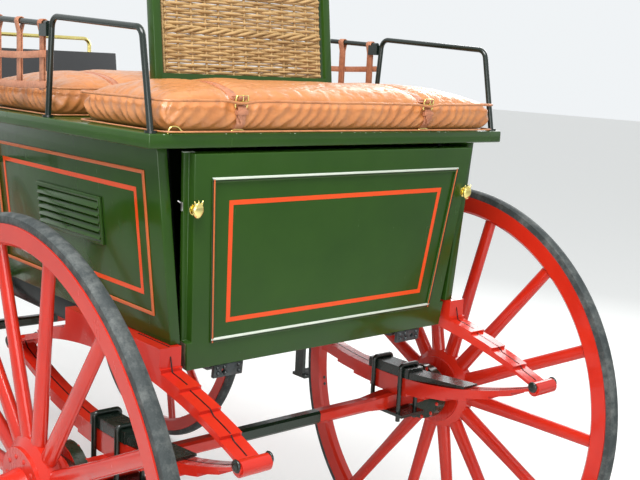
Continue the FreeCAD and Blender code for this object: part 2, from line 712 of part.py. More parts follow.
def ajar(shape):
    """Turns a piece of the closed tailboard to where it rests."""
    shape.rotate(V(0, TAIL_PIVOT_Y, TAIL_PIVOT_Z), X_AXIS, TAIL_AJAR_DEG)
    return shape


def make_tailboard():
    """Panel with rebated edges, cast hinge plates under it, and the two turn knobs."""
    full = plate_along(tail_outline(0, TAIL_BOTTOM_Z, TAIL_TOP_Z), TAIL_REAR_Y, TAIL_REAR_Y + TAIL_T)
    rebate_z = TAIL_BOTTOM_Z + FLANGE_START
    around = plate_along(tail_outline(-FLANGE_WIDTH, rebate_z, TAIL_TOP_Z + 1),
                         TAIL_REAR_Y - 1, TAIL_REAR_Y + FLANGE_CUT)
    kept = plate_along(tail_outline(FLANGE_WIDTH, rebate_z - 1, TAIL_TOP_Z + 2),
                       TAIL_REAR_Y - 2, TAIL_REAR_Y + FLANGE_CUT + 1)
    panel = full.cut(around.cut(kept))

    half = HINGE_PLATE_WIDTH / 2
    hang = box((HINGE_X - half, TAIL_REAR_Y, TAIL_BOTTOM_Z - HINGE_PLATE_DROP),
               (HINGE_X + half, TAIL_REAR_Y + HINGE_PLATE_T, TAIL_BOTTOM_Z))
    hole_at = (HINGE_X + half / 3, TAIL_BOTTOM_Z - HINGE_PLATE_DROP / 2)
    hole = rod(HINGE_HOLE_R, (hole_at[0], TAIL_REAR_Y - 1, hole_at[1]),
               (hole_at[0], TAIL_REAR_Y + HINGE_PLATE_T + 1, hole_at[1]))
    knuckle_half = KNUCKLE_LENGTH / 2
    leaf_plate = box((HINGE_X - knuckle_half, TAIL_REAR_Y + HINGE_PLATE_T, TAIL_BOTTOM_Z - HINGE_PLATE_T),
                     (HINGE_X + knuckle_half, TAIL_PIVOT_Y, TAIL_BOTTOM_Z))
    knuckle = rod(KNUCKLE_R, (HINGE_X - knuckle_half, TAIL_PIVOT_Y, TAIL_PIVOT_Z),
                  (HINGE_X + knuckle_half, TAIL_PIVOT_Y, TAIL_PIVOT_Z))
    bore = rod(HINGE_PIN_R + PIN_CLEARANCE, (HINGE_X - half, TAIL_PIVOT_Y, TAIL_PIVOT_Z),
               (HINGE_X + half, TAIL_PIVOT_Y, TAIL_PIVOT_Z))
    hinge = joined([hang.cut(hole), leaf_plate, knuckle]).cut(bore)

    knob_z = TAIL_BOTTOM_Z + KNOB_UP
    knob_x = tail_half(knob_z) - KNOB_IN
    stem_end = TAIL_REAR_Y - KNOB_STEM_LENGTH
    stem = rod(KNOB_STEM_R, (knob_x, TAIL_REAR_Y, knob_z), (knob_x, stem_end, knob_z))
    ball = Part.makeSphere(1.0)
    stretch = FreeCAD.Matrix()
    stretch.scale(*KNOB_HALF)
    ball = ball.transformGeometry(stretch)
    ball.translate(V(knob_x, stem_end - KNOB_HALF[1] / 2, knob_z))
    knob = joined([stem, ball])
    return {
        "tailboard_panel": ajar(panel),
        "tailboard_hinges": ajar(both_sides(hinge)),
        "tailboard_knobs": ajar(both_sides(knob)),
    }


def make_hinge_lugs():
    """The lugs and pins on the body that the tailboard's knuckles turn on."""
    pieces = []
    start = HINGE_X - KNUCKLE_LENGTH / 2 - LUG_GAP - LUG_T
    end = HINGE_X + KNUCKLE_LENGTH / 2 + LUG_GAP + LUG_T
    floor_bottom = FLOOR_TOP - FLOOR_T
    for x_low in (start, end - LUG_T):
        eye = rod(KNUCKLE_R, (x_low, TAIL_PIVOT_Y, TAIL_PIVOT_Z), (x_low + LUG_T, TAIL_PIVOT_Y, TAIL_PIVOT_Z))
        arm = plate_across([
            (TAIL_PIVOT_Y, TAIL_PIVOT_Z - KNUCKLE_R), (POST_REAR_Y + POST_WIDTH, TAIL_PIVOT_Z - KNUCKLE_R),
            (POST_REAR_Y + POST_WIDTH, floor_bottom), (POST_REAR_Y + 2, floor_bottom),
            (POST_REAR_Y + 2, TAIL_PIVOT_Z + KNUCKLE_R), (TAIL_PIVOT_Y, TAIL_PIVOT_Z + KNUCKLE_R),
        ], x_low, x_low + LUG_T)
        pieces += [eye, arm]
    pieces.append(rod(HINGE_PIN_R, (start, TAIL_PIVOT_Y, TAIL_PIVOT_Z), (end, TAIL_PIVOT_Y, TAIL_PIVOT_Z)))
    return both_sides(joined(pieces))


# ---------------------------------------------------------------- driver's end

def make_footwell():
    """Floor, sloping toe board, cheeks, dash with its rail, and the sockets there."""
    floor = box((-FOOTWELL_HALF, BOX_FRONT_Y, SILL_TOP),
                (FOOTWELL_HALF, FOOTWELL_FRONT_Y, SILL_TOP + FOOTWELL_T))
    toe_top = SILL_TOP + TOE_BOARD_RISE
    toe = plate_across([
        (FOOTWELL_FRONT_Y, SILL_TOP), (TOE_BOARD_FRONT_Y, toe_top),
        (TOE_BOARD_FRONT_Y, toe_top + FOOTWELL_T), (FOOTWELL_FRONT_Y, SILL_TOP + FOOTWELL_T),
    ], -FOOTWELL_HALF, FOOTWELL_HALF)
    cheek = plate_across([
        (BOX_FRONT_Y, SILL_TOP), (FOOTWELL_FRONT_Y, SILL_TOP), (TOE_BOARD_FRONT_Y, toe_top),
        (TOE_BOARD_FRONT_Y, toe_top + CHEEK_HEIGHT), (FOOTWELL_FRONT_Y, SILL_TOP + CHEEK_HEIGHT),
        (BOX_FRONT_Y, SILL_TOP + CHEEK_HEIGHT),
    ], FOOTWELL_HALF, FOOTWELL_HALF + CHEEK_T)

    lean = math.tan(math.radians(DASH_LEAN_DEG))
    foot_y = TOE_BOARD_FRONT_Y
    dash_top = toe_top + DASH_HEIGHT
    reach = DASH_HEIGHT * lean
    dash = plate_across([
        (foot_y, toe_top), (foot_y + DASH_T, toe_top),
        (foot_y + DASH_T + reach, dash_top), (foot_y + reach, dash_top),
    ], -DASH_HALF, DASH_HALF)
    rail_y = foot_y + DASH_T / 2 + reach
    rail = bent_rod([
        (-REIN_RAIL_HALF, rail_y, dash_top), (-REIN_RAIL_HALF, rail_y, dash_top + REIN_RAIL_RISE),
        (REIN_RAIL_HALF, rail_y, dash_top + REIN_RAIL_RISE), (REIN_RAIL_HALF, rail_y, dash_top),
    ], RAIL_R, RAIL_BEND)

    whip_x = DASH_HALF + WHIP_BORE_R + WHIP_WALL
    whip_z = toe_top + WHIP_UP
    whip_y = foot_y + WHIP_UP * lean + DASH_T / 2
    tube = rod(WHIP_BORE_R + WHIP_WALL, (whip_x, whip_y, whip_z), (whip_x, whip_y, whip_z + WHIP_LENGTH))
    bore = rod(WHIP_BORE_R, (whip_x, whip_y, whip_z + WHIP_LENGTH - WHIP_DEPTH),
               (whip_x, whip_y, whip_z + WHIP_LENGTH + 1))
    return {
        "footwell_floor": floor,
        "toe_board": toe,
        "footwell_cheeks": both_sides(cheek),
        "dashboard": dash,
        "rein_rail": rail,
        "whip_socket": tube.cut(bore),
    }


def make_lamp_sockets():
    """A bracket and an upright socket for a lamp on each side of the body."""
    wall_x = side_inner(LAMP_SOCKET_Z + LAMP_SOCKET_LENGTH) + SIDE_T
    socket_x = wall_x + LAMP_SOCKET_OUT
    outer = LAMP_SOCKET_BORE_R + LAMP_SOCKET_WALL
    tube = rod(outer, (socket_x, LAMP_SOCKET_Y, LAMP_SOCKET_Z),
               (socket_x, LAMP_SOCKET_Y, LAMP_SOCKET_Z + LAMP_SOCKET_LENGTH))
    bore = rod(LAMP_SOCKET_BORE_R, (socket_x, LAMP_SOCKET_Y, LAMP_SOCKET_Z - 1),
               (socket_x, LAMP_SOCKET_Y, LAMP_SOCKET_Z + LAMP_SOCKET_LENGTH + 1))
    arm_low = LAMP_SOCKET_Z + (LAMP_SOCKET_LENGTH - LAMP_ARM) / 2
    inner_low = side_inner(arm_low) + SIDE_T
    inner_high = side_inner(arm_low + LAMP_ARM) + SIDE_T
    arm = plate_along([
        (inner_low, arm_low), (socket_x, arm_low),
        (socket_x, arm_low + LAMP_ARM), (inner_high, arm_low + LAMP_ARM),
    ], LAMP_SOCKET_Y - LAMP_ARM / 2, LAMP_SOCKET_Y + LAMP_ARM / 2)
    return both_sides(joined([tube, arm]).cut(bore))


def make_step():
    """The right-hand mounting step: a flat bent hanger and a small tread."""
    half_t = STEP_BAR_T / 2
    top_z = SILL_BOTTOM + 2 * STEP_BAR_T
    knee_out = SILL_OUTER + 3 * STEP_BAR_T
    bend_z = STEP_TREAD_Z + 9 * STEP_BAR_T
    outer = [(SILL_OUTER, top_z + half_t), (knee_out + half_t, top_z + half_t),
             (STEP_OUT + half_t, bend_z + half_t), (STEP_OUT + half_t, STEP_TREAD_Z)]
    inner = [(STEP_OUT - half_t, STEP_TREAD_Z), (STEP_OUT - half_t, bend_z - half_t),
             (knee_out - half_t, top_z - half_t), (SILL_OUTER, top_z - half_t)]
    hanger = plate_along(outer + inner, STEP_Y, STEP_Y + STEP_BAR_WIDTH)
    mid_y = STEP_Y + STEP_BAR_WIDTH / 2
    tread = box((STEP_OUT - half_t, mid_y - STEP_TREAD_Y / 2, STEP_TREAD_Z - STEP_TREAD_T),
                (STEP_OUT - half_t + STEP_TREAD_X, mid_y + STEP_TREAD_Y / 2, STEP_TREAD_Z))
    return joined([hanger, tread])


# ---------------------------------------------------------------- turntable and forecarriage

def ring(bottom_z):
    """One flat ring of the turntable."""
    centre = V(0, WHEEL_BASE, bottom_z)
    disc = Part.makeCylinder(RING_OUTER, RING_T, centre)
    return disc.cut(Part.makeCylinder(RING_INNER, RING_T, centre))


def make_turntable_top():
    """Upper ring, upper bed with the toe board's brackets, and the kingpin."""
    half_y = UPPER_BED_LENGTH / 2
    bed = box((-SILL_OUTER, WHEEL_BASE - half_y, UPPER_BED_BOTTOM),
              (SILL_OUTER, WHEEL_BASE + half_y, UPPER_BED_TOP))
    slope = TOE_BOARD_RISE / (TOE_BOARD_FRONT_Y - FOOTWELL_FRONT_Y)
    low_y = WHEEL_BASE - half_y
    bracket = plate_across([
        (low_y, UPPER_BED_TOP), (TOE_BOARD_FRONT_Y, UPPER_BED_TOP),
        (TOE_BOARD_FRONT_Y, SILL_TOP + TOE_BOARD_RISE),
        (low_y, SILL_TOP + (low_y - FOOTWELL_FRONT_Y) * slope),
    ], BRACKET_X - BRACKET_T / 2, BRACKET_X + BRACKET_T / 2)
    bore = rod(KINGPIN_R, (0, WHEEL_BASE, UPPER_BED_BOTTOM - 1), (0, WHEEL_BASE, UPPER_BED_TOP + 1))
    low_end = FRONT_SPRING_TOP - KINGPIN_NUT_T - RING_GAP
    pin = rod(KINGPIN_R, (0, WHEEL_BASE, low_end), (0, WHEEL_BASE, UPPER_BED_TOP + KINGPIN_NUT_T))
    head = rod(KINGPIN_NUT_R, (0, WHEEL_BASE, UPPER_BED_TOP), (0, WHEEL_BASE, UPPER_BED_TOP + KINGPIN_NUT_T))
    nut = rod(KINGPIN_NUT_R, (0, WHEEL_BASE, low_end), (0, WHEEL_BASE, low_end + KINGPIN_NUT_T))
    return {
        "upper_bed": joined([bed, bracket, mirrored(bracket)]).cut(bore),
        "upper_ring": ring(UPPER_RING_BOTTOM),
        "kingpin": joined([pin, head, nut]),
    }


def make_forecarriage():
    """Lower ring, bed, futchells and splinter bar, with the irons on it."""
    half_y = LOWER_BED_WIDTH / 2
    bed = box((-LOWER_BED_HALF, WHEEL_BASE - half_y, FRONT_SPRING_TOP),
              (LOWER_BED_HALF, WHEEL_BASE + half_y, LOWER_BED_TOP))
    bore = rod(KINGPIN_R + PIN_CLEARANCE, (0, WHEEL_BASE, FRONT_SPRING_TOP - 1),
               (0, WHEEL_BASE, LOWER_BED_TOP + 1))
    half_x = FUTCHELL_WIDTH / 2
    futchell = box((FUTCHELL_X - half_x, WHEEL_BASE - FUTCHELL_REAR, LOWER_BED_TOP),
                   (FUTCHELL_X + half_x, WHEEL_BASE + FUTCHELL_FRONT, LOWER_RING_BOTTOM))
    top = SPLINTER_BOTTOM + SPLINTER_HEIGHT
    bar = box((-SPLINTER_HALF, SPLINTER_Y - SPLINTER_WIDTH / 2, SPLINTER_BOTTOM),
              (SPLINTER_HALF, SPLINTER_Y + SPLINTER_WIDTH / 2, top))

    stem = rod(TRACE_BOLT_R, (TRACE_BOLT_X, SPLINTER_Y, top),
               (TRACE_BOLT_X, SPLINTER_Y, top + TRACE_BOLT_LENGTH + TRACE_BOLT_HEAD_T))
    head_z = top + TRACE_BOLT_LENGTH
    head = rod(TRACE_BOLT_HEAD_R, (TRACE_BOLT_X, SPLINTER_Y, head_z),
               (TRACE_BOLT_X, SPLINTER_Y, head_z + TRACE_BOLT_HEAD_T))
    trace_bolt = joined([stem, head])
    bar_front = SPLINTER_Y + SPLINTER_WIDTH / 2
    start = SHAFT_X - SHAFT_EYE_LENGTH / 2 - JAW_GAP - JAW_T
    end = SHAFT_X + SHAFT_EYE_LENGTH / 2 + JAW_GAP + JAW_T
    half_h = JAW_HEIGHT / 2
    low_z = SHAFT_PIVOT_Z - half_h
    high_z = SHAFT_PIVOT_Z + half_h
    back = box((start, bar_front, low_z), (end, bar_front + JAW_T / 2, high_z))
    pin = rod(SHAFT_PIN_R, (start, SHAFT_PIVOT_Y, SHAFT_PIVOT_Z), (end, SHAFT_PIVOT_Y, SHAFT_PIVOT_Z))
    ears = []
    for x_low in (start, end - JAW_T):
        x_high = x_low + JAW_T
        ears.append(box((x_low, bar_front, low_z), (x_high, SHAFT_PIVOT_Y, high_z)))
        round_end = rod(half_h, (x_low, SHAFT_PIVOT_Y, SHAFT_PIVOT_Z), (x_high, SHAFT_PIVOT_Y, SHAFT_PIVOT_Z))
        ears.append(round_end)
    jaw = joined(ears + [back, pin])
    irons = [trace_bolt, mirrored(trace_bolt), jaw, mirrored(jaw)]
    return {
        "lower_bed": bed.cut(bore),
        "lower_ring": ring(LOWER_RING_BOTTOM),
        "futchells": both_sides(futchell),
        "splinter_bar": bar,
        "splinter_irons": Part.makeCompound(irons),
    }


# ---------------------------------------------------------------- shafts

def shaft_point(share):
    """A point on the right shaft's centre line when it is level, share being 0 at its start."""
    y = SHAFT_PIVOT_Y + SHAFT_START + (SHAFT_LENGTH - SHAFT_START) * share
    x = SHAFT_TIP_X + (SHAFT_X - SHAFT_TIP_X) * (1 - share ** SHAFT_BEND_POWER)
    z = SHAFT_PIVOT_Z + SHAFT_RISE * math.sin(math.pi * share * SHAFT_CREST)
    return V(x, y, z)


def shaft_radius(share):
    """The shaft's radius along its length."""
    return SHAFT_REAR_R + (SHAFT_TIP_R - SHAFT_REAR_R) * share


def shaft_drop_deg():
    """How far the level shafts turn down until their tips rest on the ground."""
    tip = shaft_point(1.0)
    along = tip.y - SHAFT_PIVOT_Y
    up = tip.z - SHAFT_PIVOT_Z
    reach = math.hypot(along, up)
    ground = shaft_radius(1.0) - SHAFT_PIVOT_Z
    return math.degrees(math.atan2(up, along) - math.asin(ground / reach))


def lowered(shape):
    """Turns a level shaft piece down to where it rests."""
    shape.rotate(V(0, SHAFT_PIVOT_Y, SHAFT_PIVOT_Z), X_AXIS, -shaft_drop_deg())
    return shape


def make_shafts():
    """Two tapering bent shafts, the bar across them and their hinge eyes."""
    sections = []
    for index in range(SHAFT_STATIONS):
        share = index / (SHAFT_STATIONS - 1)
        ahead = shaft_point(min(share + SHAFT_CHORD, 1.0)) - shaft_point(max(share - SHAFT_CHORD, 0.0))
        sections.append(Part.Wire([Part.makeCircle(shaft_radius(share), shaft_point(share), ahead)]))
    pole = Part.makeLoft(sections, True, False)
    tip = Part.makeSphere(shaft_radius(1.0), shaft_point(1.0))
    pole = pole.fuse(tip)
    bar_share = SHAFT_BAR_AT / SHAFT_LENGTH
    place = shaft_point(bar_share)
    reach = place.x - shaft_radius(bar_share) / 2
    bar = rod(SHAFT_BAR_R, (-reach, place.y, place.z), (reach, place.y, place.z))
    bar = bar.cut(pole).cut(mirrored(pole))

    half = SHAFT_EYE_LENGTH / 2
    eye = rod(SHAFT_EYE_R, (SHAFT_X - half, SHAFT_PIVOT_Y, SHAFT_PIVOT_Z),
              (SHAFT_X + half, SHAFT_PIVOT_Y, SHAFT_PIVOT_Z))
    neck = box((SHAFT_X - half / 2, SHAFT_PIVOT_Y, SHAFT_PIVOT_Z - SHAFT_EYE_R / 2),
               (SHAFT_X + half / 2, SHAFT_PIVOT_Y + SHAFT_START, SHAFT_PIVOT_Z + SHAFT_EYE_R / 2))
    start = shaft_point(0.0)
    along = shaft_point(SHAFT_CHORD) - start
    back = start - along.normalize() * FERRULE_WALL
    ferrule = Part.makeCylinder(SHAFT_REAR_R + FERRULE_WALL, FERRULE_LENGTH, back, along)
    socket = Part.makeCylinder(SHAFT_REAR_R, FERRULE_LENGTH, start, along)
    bore = rod(SHAFT_PIN_R + PIN_CLEARANCE, (SHAFT_X - half - 1, SHAFT_PIVOT_Y, SHAFT_PIVOT_Z),
               (SHAFT_X + half + 1, SHAFT_PIVOT_Y, SHAFT_PIVOT_Z))
    iron = joined([eye, neck, ferrule]).cut(bore).cut(socket)
    return {
        "shaft_right": lowered(pole),
        "shaft_left": mirrored(pole),
        "shaft_bar": lowered(bar),
        "shaft_irons": lowered(both_sides(iron)),
    }


# ---------------------------------------------------------------- assembly

def make_running_gear():
    """Axles, springs and clamps at both ends."""
    rear_sizes = (REAR_SPRING_X, REAR_SPRING_HALF, REAR_SPRING_BOTTOM, REAR_SPRING_HEIGHT)
    front_sizes = (FRONT_SPRING_X, FRONT_SPRING_HALF, FRONT_SPRING_BOTTOM, FRONT_SPRING_HEIGHT)
    rear_spring = make_spring(*rear_sizes)
    block_half = BODY_BLOCK_LENGTH / 2
    block = box((REAR_SPRING_X - LEAF_WIDTH / 2, -block_half, SILL_TOP - BODY_BLOCK_DEPTH),
                (REAR_SPRING_X + LEAF_WIDTH / 2, block_half, SILL_TOP))
    rear_spring = joined([rear_spring, block])
    rear_clamp = make_clamp(*rear_sizes, REAR_AXLE_Z)
    wedge = make_wedge(*rear_sizes)
    front_spring = make_spring(*front_sizes)
    front_clamp = make_clamp(*front_sizes, FRONT_AXLE_Z)
    front = {
        "front_axle": make_axle(FRONT_TRACK_HALF, FRONT_HUB_Z, FRONT_AXLE_Z, FRONT_SPRING_X),
        "front_spring_right": front_spring,
        "front_spring_left": mirrored(front_spring),
        "front_spring_clamps": both_sides(front_clamp),
    }
    for shape in front.values():
        shape.translate(V(0, WHEEL_BASE, 0))
    rear = {
        "rear_axle": make_axle(REAR_TRACK_HALF, REAR_HUB_Z, REAR_AXLE_Z, REAR_SPRING_X),
        "rear_spring_right": rear_spring,
        "rear_spring_left": mirrored(rear_spring),
        "rear_spring_clamps": both_sides(joined([rear_clamp, wedge])),
    }
    return {**rear, **front}


def make_all():
    """Every node of the cart, by name."""
    nodes = {}
    nodes.update(make_running_gear())
    nodes.update(make_wheels("rear", REAR_WHEEL_R, REAR_SPOKES, REAR_TRACK_HALF, REAR_HUB_Z, 0))
    nodes.update(make_wheels("front", FRONT_WHEEL_R, FRONT_SPOKES, FRONT_TRACK_HALF, FRONT_HUB_Z, WHEEL_BASE))
    nodes.update(make_body())
    nodes["rear_cushion"] = make_cushion(*REAR_CUSHION_Y)
    nodes["front_cushion"] = make_cushion(*FRONT_CUSHION_Y)
    nodes.update(make_backrest())
    side_rail = make_side_rail()
    nodes["side_rail_right"] = side_rail
    nodes["side_rail_left"] = mirrored(side_rail)
    nodes.update(make_tailboard())
    nodes["hinge_lugs"] = make_hinge_lugs()
    nodes.update(make_footwell())
    nodes["lamp_sockets"] = make_lamp_sockets()
    step = make_step()
    nodes["side_step_right"] = step
    nodes["side_step_left"] = mirrored(step)
    nodes.update(make_turntable_top())
    nodes.update(make_forecarriage())
    nodes.update(make_shafts())
    return nodes


def main():
    """Builds the nodes, centres them along Y and writes one file for each."""
    os.makedirs("parts", exist_ok=True)
    nodes = make_all()
    extent = Part.makeCompound(list(nodes.values())).optimalBoundingBox(False)
    shift = -(extent.YMin + extent.YMax) / 2
    for name, shape in nodes.items():
        shape.translate(V(0, shift, 0))
        shape.exportStep("parts/" + name + ".step")
        print(name, len(shape.Solids), shape.isValid(), round(shape.Volume / 1000), "cm3")
    print("nodes", len(nodes))
    print("extent", extent.XLength, extent.YLength, extent.ZLength, extent.ZMin)
    print("rear axle y", shift)
    print("rear hubs", REAR_TRACK_HALF, shift, REAR_HUB_Z)
    print("front hubs", FRONT_TRACK_HALF, WHEEL_BASE + shift, FRONT_HUB_Z)
    print("tailboard pivot", TAIL_PIVOT_Y + shift, TAIL_PIVOT_Z)
    print("shaft pivot", SHAFT_PIVOT_Y + shift, SHAFT_PIVOT_Z, "drop", shaft_drop_deg())


main()
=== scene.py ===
"""Looks of a four-wheeled dog cart: coachwork, wheels, leather, willow and brass around its CAD frame.

All places are in metres in the cart's own frame: +X is its right, +Y is forwards and +Z is up.
"""

from __future__ import annotations

import json
import logging
import math
import random
from dataclasses import dataclass, field
from enum import Enum
from typing import Callable, Iterable, Sequence

import bpy
from mathutils import Matrix, Vector, noise
from mathutils.bvhtree import BVHTree


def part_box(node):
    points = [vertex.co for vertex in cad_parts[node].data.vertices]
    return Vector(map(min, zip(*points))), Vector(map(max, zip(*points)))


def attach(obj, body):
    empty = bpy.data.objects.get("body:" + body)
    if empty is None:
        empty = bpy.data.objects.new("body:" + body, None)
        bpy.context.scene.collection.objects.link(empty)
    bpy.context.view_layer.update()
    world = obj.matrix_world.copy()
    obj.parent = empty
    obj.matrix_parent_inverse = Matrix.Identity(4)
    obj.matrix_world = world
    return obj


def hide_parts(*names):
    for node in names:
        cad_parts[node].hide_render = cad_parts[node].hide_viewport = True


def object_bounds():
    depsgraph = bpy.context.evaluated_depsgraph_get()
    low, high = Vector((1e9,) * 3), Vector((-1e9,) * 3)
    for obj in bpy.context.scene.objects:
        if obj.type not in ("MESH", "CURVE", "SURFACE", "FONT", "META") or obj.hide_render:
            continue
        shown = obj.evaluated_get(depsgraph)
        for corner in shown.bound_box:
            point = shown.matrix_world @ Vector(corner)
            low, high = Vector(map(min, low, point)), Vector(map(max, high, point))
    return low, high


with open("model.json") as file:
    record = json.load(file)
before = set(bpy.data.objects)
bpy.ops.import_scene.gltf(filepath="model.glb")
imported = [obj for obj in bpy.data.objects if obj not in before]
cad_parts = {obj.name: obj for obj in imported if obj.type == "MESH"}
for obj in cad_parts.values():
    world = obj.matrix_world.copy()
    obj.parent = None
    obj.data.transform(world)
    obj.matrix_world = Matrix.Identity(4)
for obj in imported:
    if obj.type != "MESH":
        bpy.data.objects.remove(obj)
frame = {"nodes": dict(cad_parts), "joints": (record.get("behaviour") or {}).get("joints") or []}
CAD_LOW, CAD_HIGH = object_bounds()

logging.basicConfig(level=logging.INFO, format="%(message)s")
LOG = logging.getLogger("dog_cart")

Colour = tuple[float, float, float]


class Body(Enum):
    """The rigid bodies that pieces ride on."""

    CARRIAGE = "carriage"
    FORECARRIAGE = "forecarriage"
    SHAFTS = "shafts"
    TAILBOARD = "tailboard"


class Side(Enum):
    """Which side of the cart, as a sign along X."""

    RIGHT = 1
    LEFT = -1

    @property
    def word(self) -> str:
        """The side's name as the nodes spell it."""
        return self.name.lower()


def joint_place(name: str) -> Vector:
    """Returns the pivot of a joint at rest."""
    found = [joint for joint in frame["joints"] if joint["name"] == name]
    return Vector(found[0]["pos_m"])


def joint_low_limit(name: str) -> float:
    """Returns a joint's lower limit in radians."""
    found = [joint for joint in frame["joints"] if joint["name"] == name]
    return math.radians(found[0]["range_deg"][0])


# ------------------------------------------------------------------ modelling helpers


def deselect() -> None:
    """Leaves nothing selected, so that the next operator touches only its own object."""
    for obj in bpy.context.selected_objects:
        obj.select_set(False)


def pick(*objects: bpy.types.Object) -> bpy.types.Object:
    """Selects only these objects and makes the first one active.

    Args:
        objects: the objects to select.

    Returns:
        The active object.
    """
    deselect()
    for obj in objects:
        obj.select_set(True)
    bpy.context.view_layer.objects.active = objects[0]
    return objects[0]


def edit(obj: bpy.types.Object) -> None:
    """Enters edit mode on one object with everything selected."""
    pick(obj)
    bpy.ops.object.mode_set(mode="EDIT")
    bpy.ops.mesh.select_all(action="SELECT")


def leave_edit() -> None:
    """Returns to object mode."""
    bpy.ops.object.mode_set(mode="OBJECT")


def named(name: str) -> bpy.types.Object:
    """Names the object that an operator has just made, and its data."""
    obj = bpy.context.active_object
    obj.name = name
    obj.data.name = name
    return obj


def applied(obj: bpy.types.Object) -> bpy.types.Object:
    """Puts an object's place, turn and scale into its mesh."""
    pick(obj)
    bpy.ops.object.transform_apply(location=True, rotation=True, scale=True)
    return obj


def moved(obj: bpy.types.Object, matrix: Matrix) -> bpy.types.Object:
    """Transforms an object's mesh, turning its faces outwards again if it was mirrored."""
    obj.matrix_world = matrix @ obj.matrix_world
    applied(obj)
    if matrix.determinant() < 0:
        edit(obj)
        bpy.ops.mesh.flip_normals()
        leave_edit()
    return obj


def mirrored_copy(obj: bpy.types.Object, name: str) -> bpy.types.Object:
    """Returns a copy of a piece on the other side of the cart, with its own mesh."""
    copy = copied(obj, name)
    bpy.context.view_layer.update()
    copy.matrix_world = Matrix.Scale(-1, 4, Vector((1, 0, 0))) @ copy.matrix_world
    applied(copy)
    edit(copy)
    bpy.ops.mesh.normals_make_consistent(inside=False)
    leave_edit()
    return copy


def copied(obj: bpy.types.Object, name: str) -> bpy.types.Object:
    """Returns a copy of an object with its own mesh."""
    copy = obj.copy()
    copy.data = obj.data.copy()
    bpy.context.scene.collection.objects.link(copy)
    copy.name = name
    copy.data.name = name
    return copy


def joined(objects: Sequence[bpy.types.Object], name: str) -> bpy.types.Object:
    """Joins meshes into one piece.

    Args:
        objects: the meshes to join.
        name: what the joined piece is called.

    Returns:
        The joined piece.
    """
    pick(*objects)
    if len(objects) > 1:
        bpy.ops.object.join()
    return named(name)


def with_modifier(obj: bpy.types.Object, kind: str, **settings: object) -> bpy.types.Object:
    """Adds one modifier to a piece and applies it.

    Args:
        obj: the piece.
        kind: the modifier's type.
        settings: the modifier's settings by name.

    Returns:
        The same piece.
    """
    modifier = obj.modifiers.new(kind.lower(), kind)
    for key, value in settings.items():
        setattr(modifier, key, value)
    pick(obj)
    bpy.ops.object.modifier_apply(modifier=modifier.name)
    return obj


def eased(obj: bpy.types.Object, width: float, segments: int = 2) -> bpy.types.Object:
    """Rounds a piece's sharp edges by a small bevel and shades the rest smooth."""
    with_modifier(obj, "BEVEL", width=width, segments=segments, limit_method="ANGLE",
                  angle_limit=math.radians(35), harden_normals=False)
    pick(obj)
    bpy.ops.object.shade_smooth_by_angle(angle=math.radians(40))
    return obj


def block(name: str, low: Sequence[float], high: Sequence[float], ease: float = 0.0) -> bpy.types.Object:
    """Makes a block between two corners, with eased edges where asked."""
    centre = (Vector(low) + Vector(high)) / 2
    bpy.ops.mesh.primitive_cube_add(size=1, location=centre)
    obj = named(name)
    obj.scale = Vector(high) - Vector(low)
    applied(obj)
    return eased(obj, ease) if ease else obj


def turned_to(direction: Vector) -> Matrix:
    """Returns the turn that takes +Z to a direction."""
    return direction.to_track_quat("Z", "Y").to_matrix().to_4x4()


def bar(name: str, start: Sequence[float], end: Sequence[float], radius: float, sides: int = 24,
        ease: float = 0.0) -> bpy.types.Object:
    """Makes a round bar between two points."""
    along = Vector(end) - Vector(start)
    bpy.ops.mesh.primitive_cylinder_add(vertices=sides, radius=radius, depth=along.length)
    obj = named(name)
    obj.matrix_world = Matrix.Translation((Vector(start) + Vector(end)) / 2) @ turned_to(along)
    applied(obj)
    return eased(obj, ease) if ease else obj


def tube(name: str, points: Sequence[Vector], radius: float, closed: bool = False, sides: int = 3,
         smooth: int = 4) -> bpy.types.Object:
    """Makes a round tube along a smooth line.

    Args:
        name: the piece's name.
        points: the line's control points.
        radius: the tube's radius.
        closed: whether the line meets its own start.
        sides: the curve's bevel resolution, four times which is the number of sides less four.
        smooth: how finely each stretch is divided.

    Returns:
        The tube as a mesh.
    """
    bpy.ops.curve.primitive_nurbs_path_add()
    obj = named(name)
    curve = obj.data
    curve.splines.clear()
    spline = curve.splines.new("NURBS")
    spline.points.add(len(points) - 1)
    for target, point in zip(spline.points, points):
        target.co = (*point, 1.0)
    spline.use_cyclic_u = closed
    spline.order_u = 3
    spline.use_endpoint_u = not closed
    curve.resolution_u = smooth
    curve.bevel_depth = radius
    curve.bevel_resolution = sides
    curve.use_fill_caps = True
    pick(obj)
    bpy.ops.object.convert(target="MESH")
    obj = named(name)
    bpy.ops.object.shade_smooth()
    return applied(obj)


def ribbon(name: str, path: Sequence[Vector], across: Vector, width: float, thickness: float,
           ease: float = 0.0006) -> bpy.types.Object:
    """Makes a flat strap along a path.

    Args:
        name: the piece's name.
        path: points along the strap's middle, on its inner face.
        across: the direction of the strap's width.
        width: the strap's width.
        thickness: the strap's thickness.
        ease: how much its edges are rounded.

    Returns:
        The strap.
    """
    bpy.ops.mesh.primitive_grid_add(x_subdivisions=1, y_subdivisions=len(path) - 1, size=1)
    obj = named(name)
    half = across.normalized() * width / 2
    for index, vertex in enumerate(obj.data.vertices):
        row, column = divmod(index, 2)
        vertex.co = path[row] + half * (1 if column else -1)
    edit(obj)
    bpy.ops.mesh.normals_make_consistent(inside=False)
    leave_edit()
    with_modifier(obj, "SOLIDIFY", thickness=thickness, offset=0.0)
    edit(obj)
    bpy.ops.mesh.normals_make_consistent(inside=False)
    leave_edit()
    if ease:
        with_modifier(obj, "BEVEL", width=ease, segments=2, limit_method="ANGLE", angle_limit=math.radians(50))
    pick(obj)
    bpy.ops.object.shade_smooth_by_angle(angle=math.radians(50))
    return obj


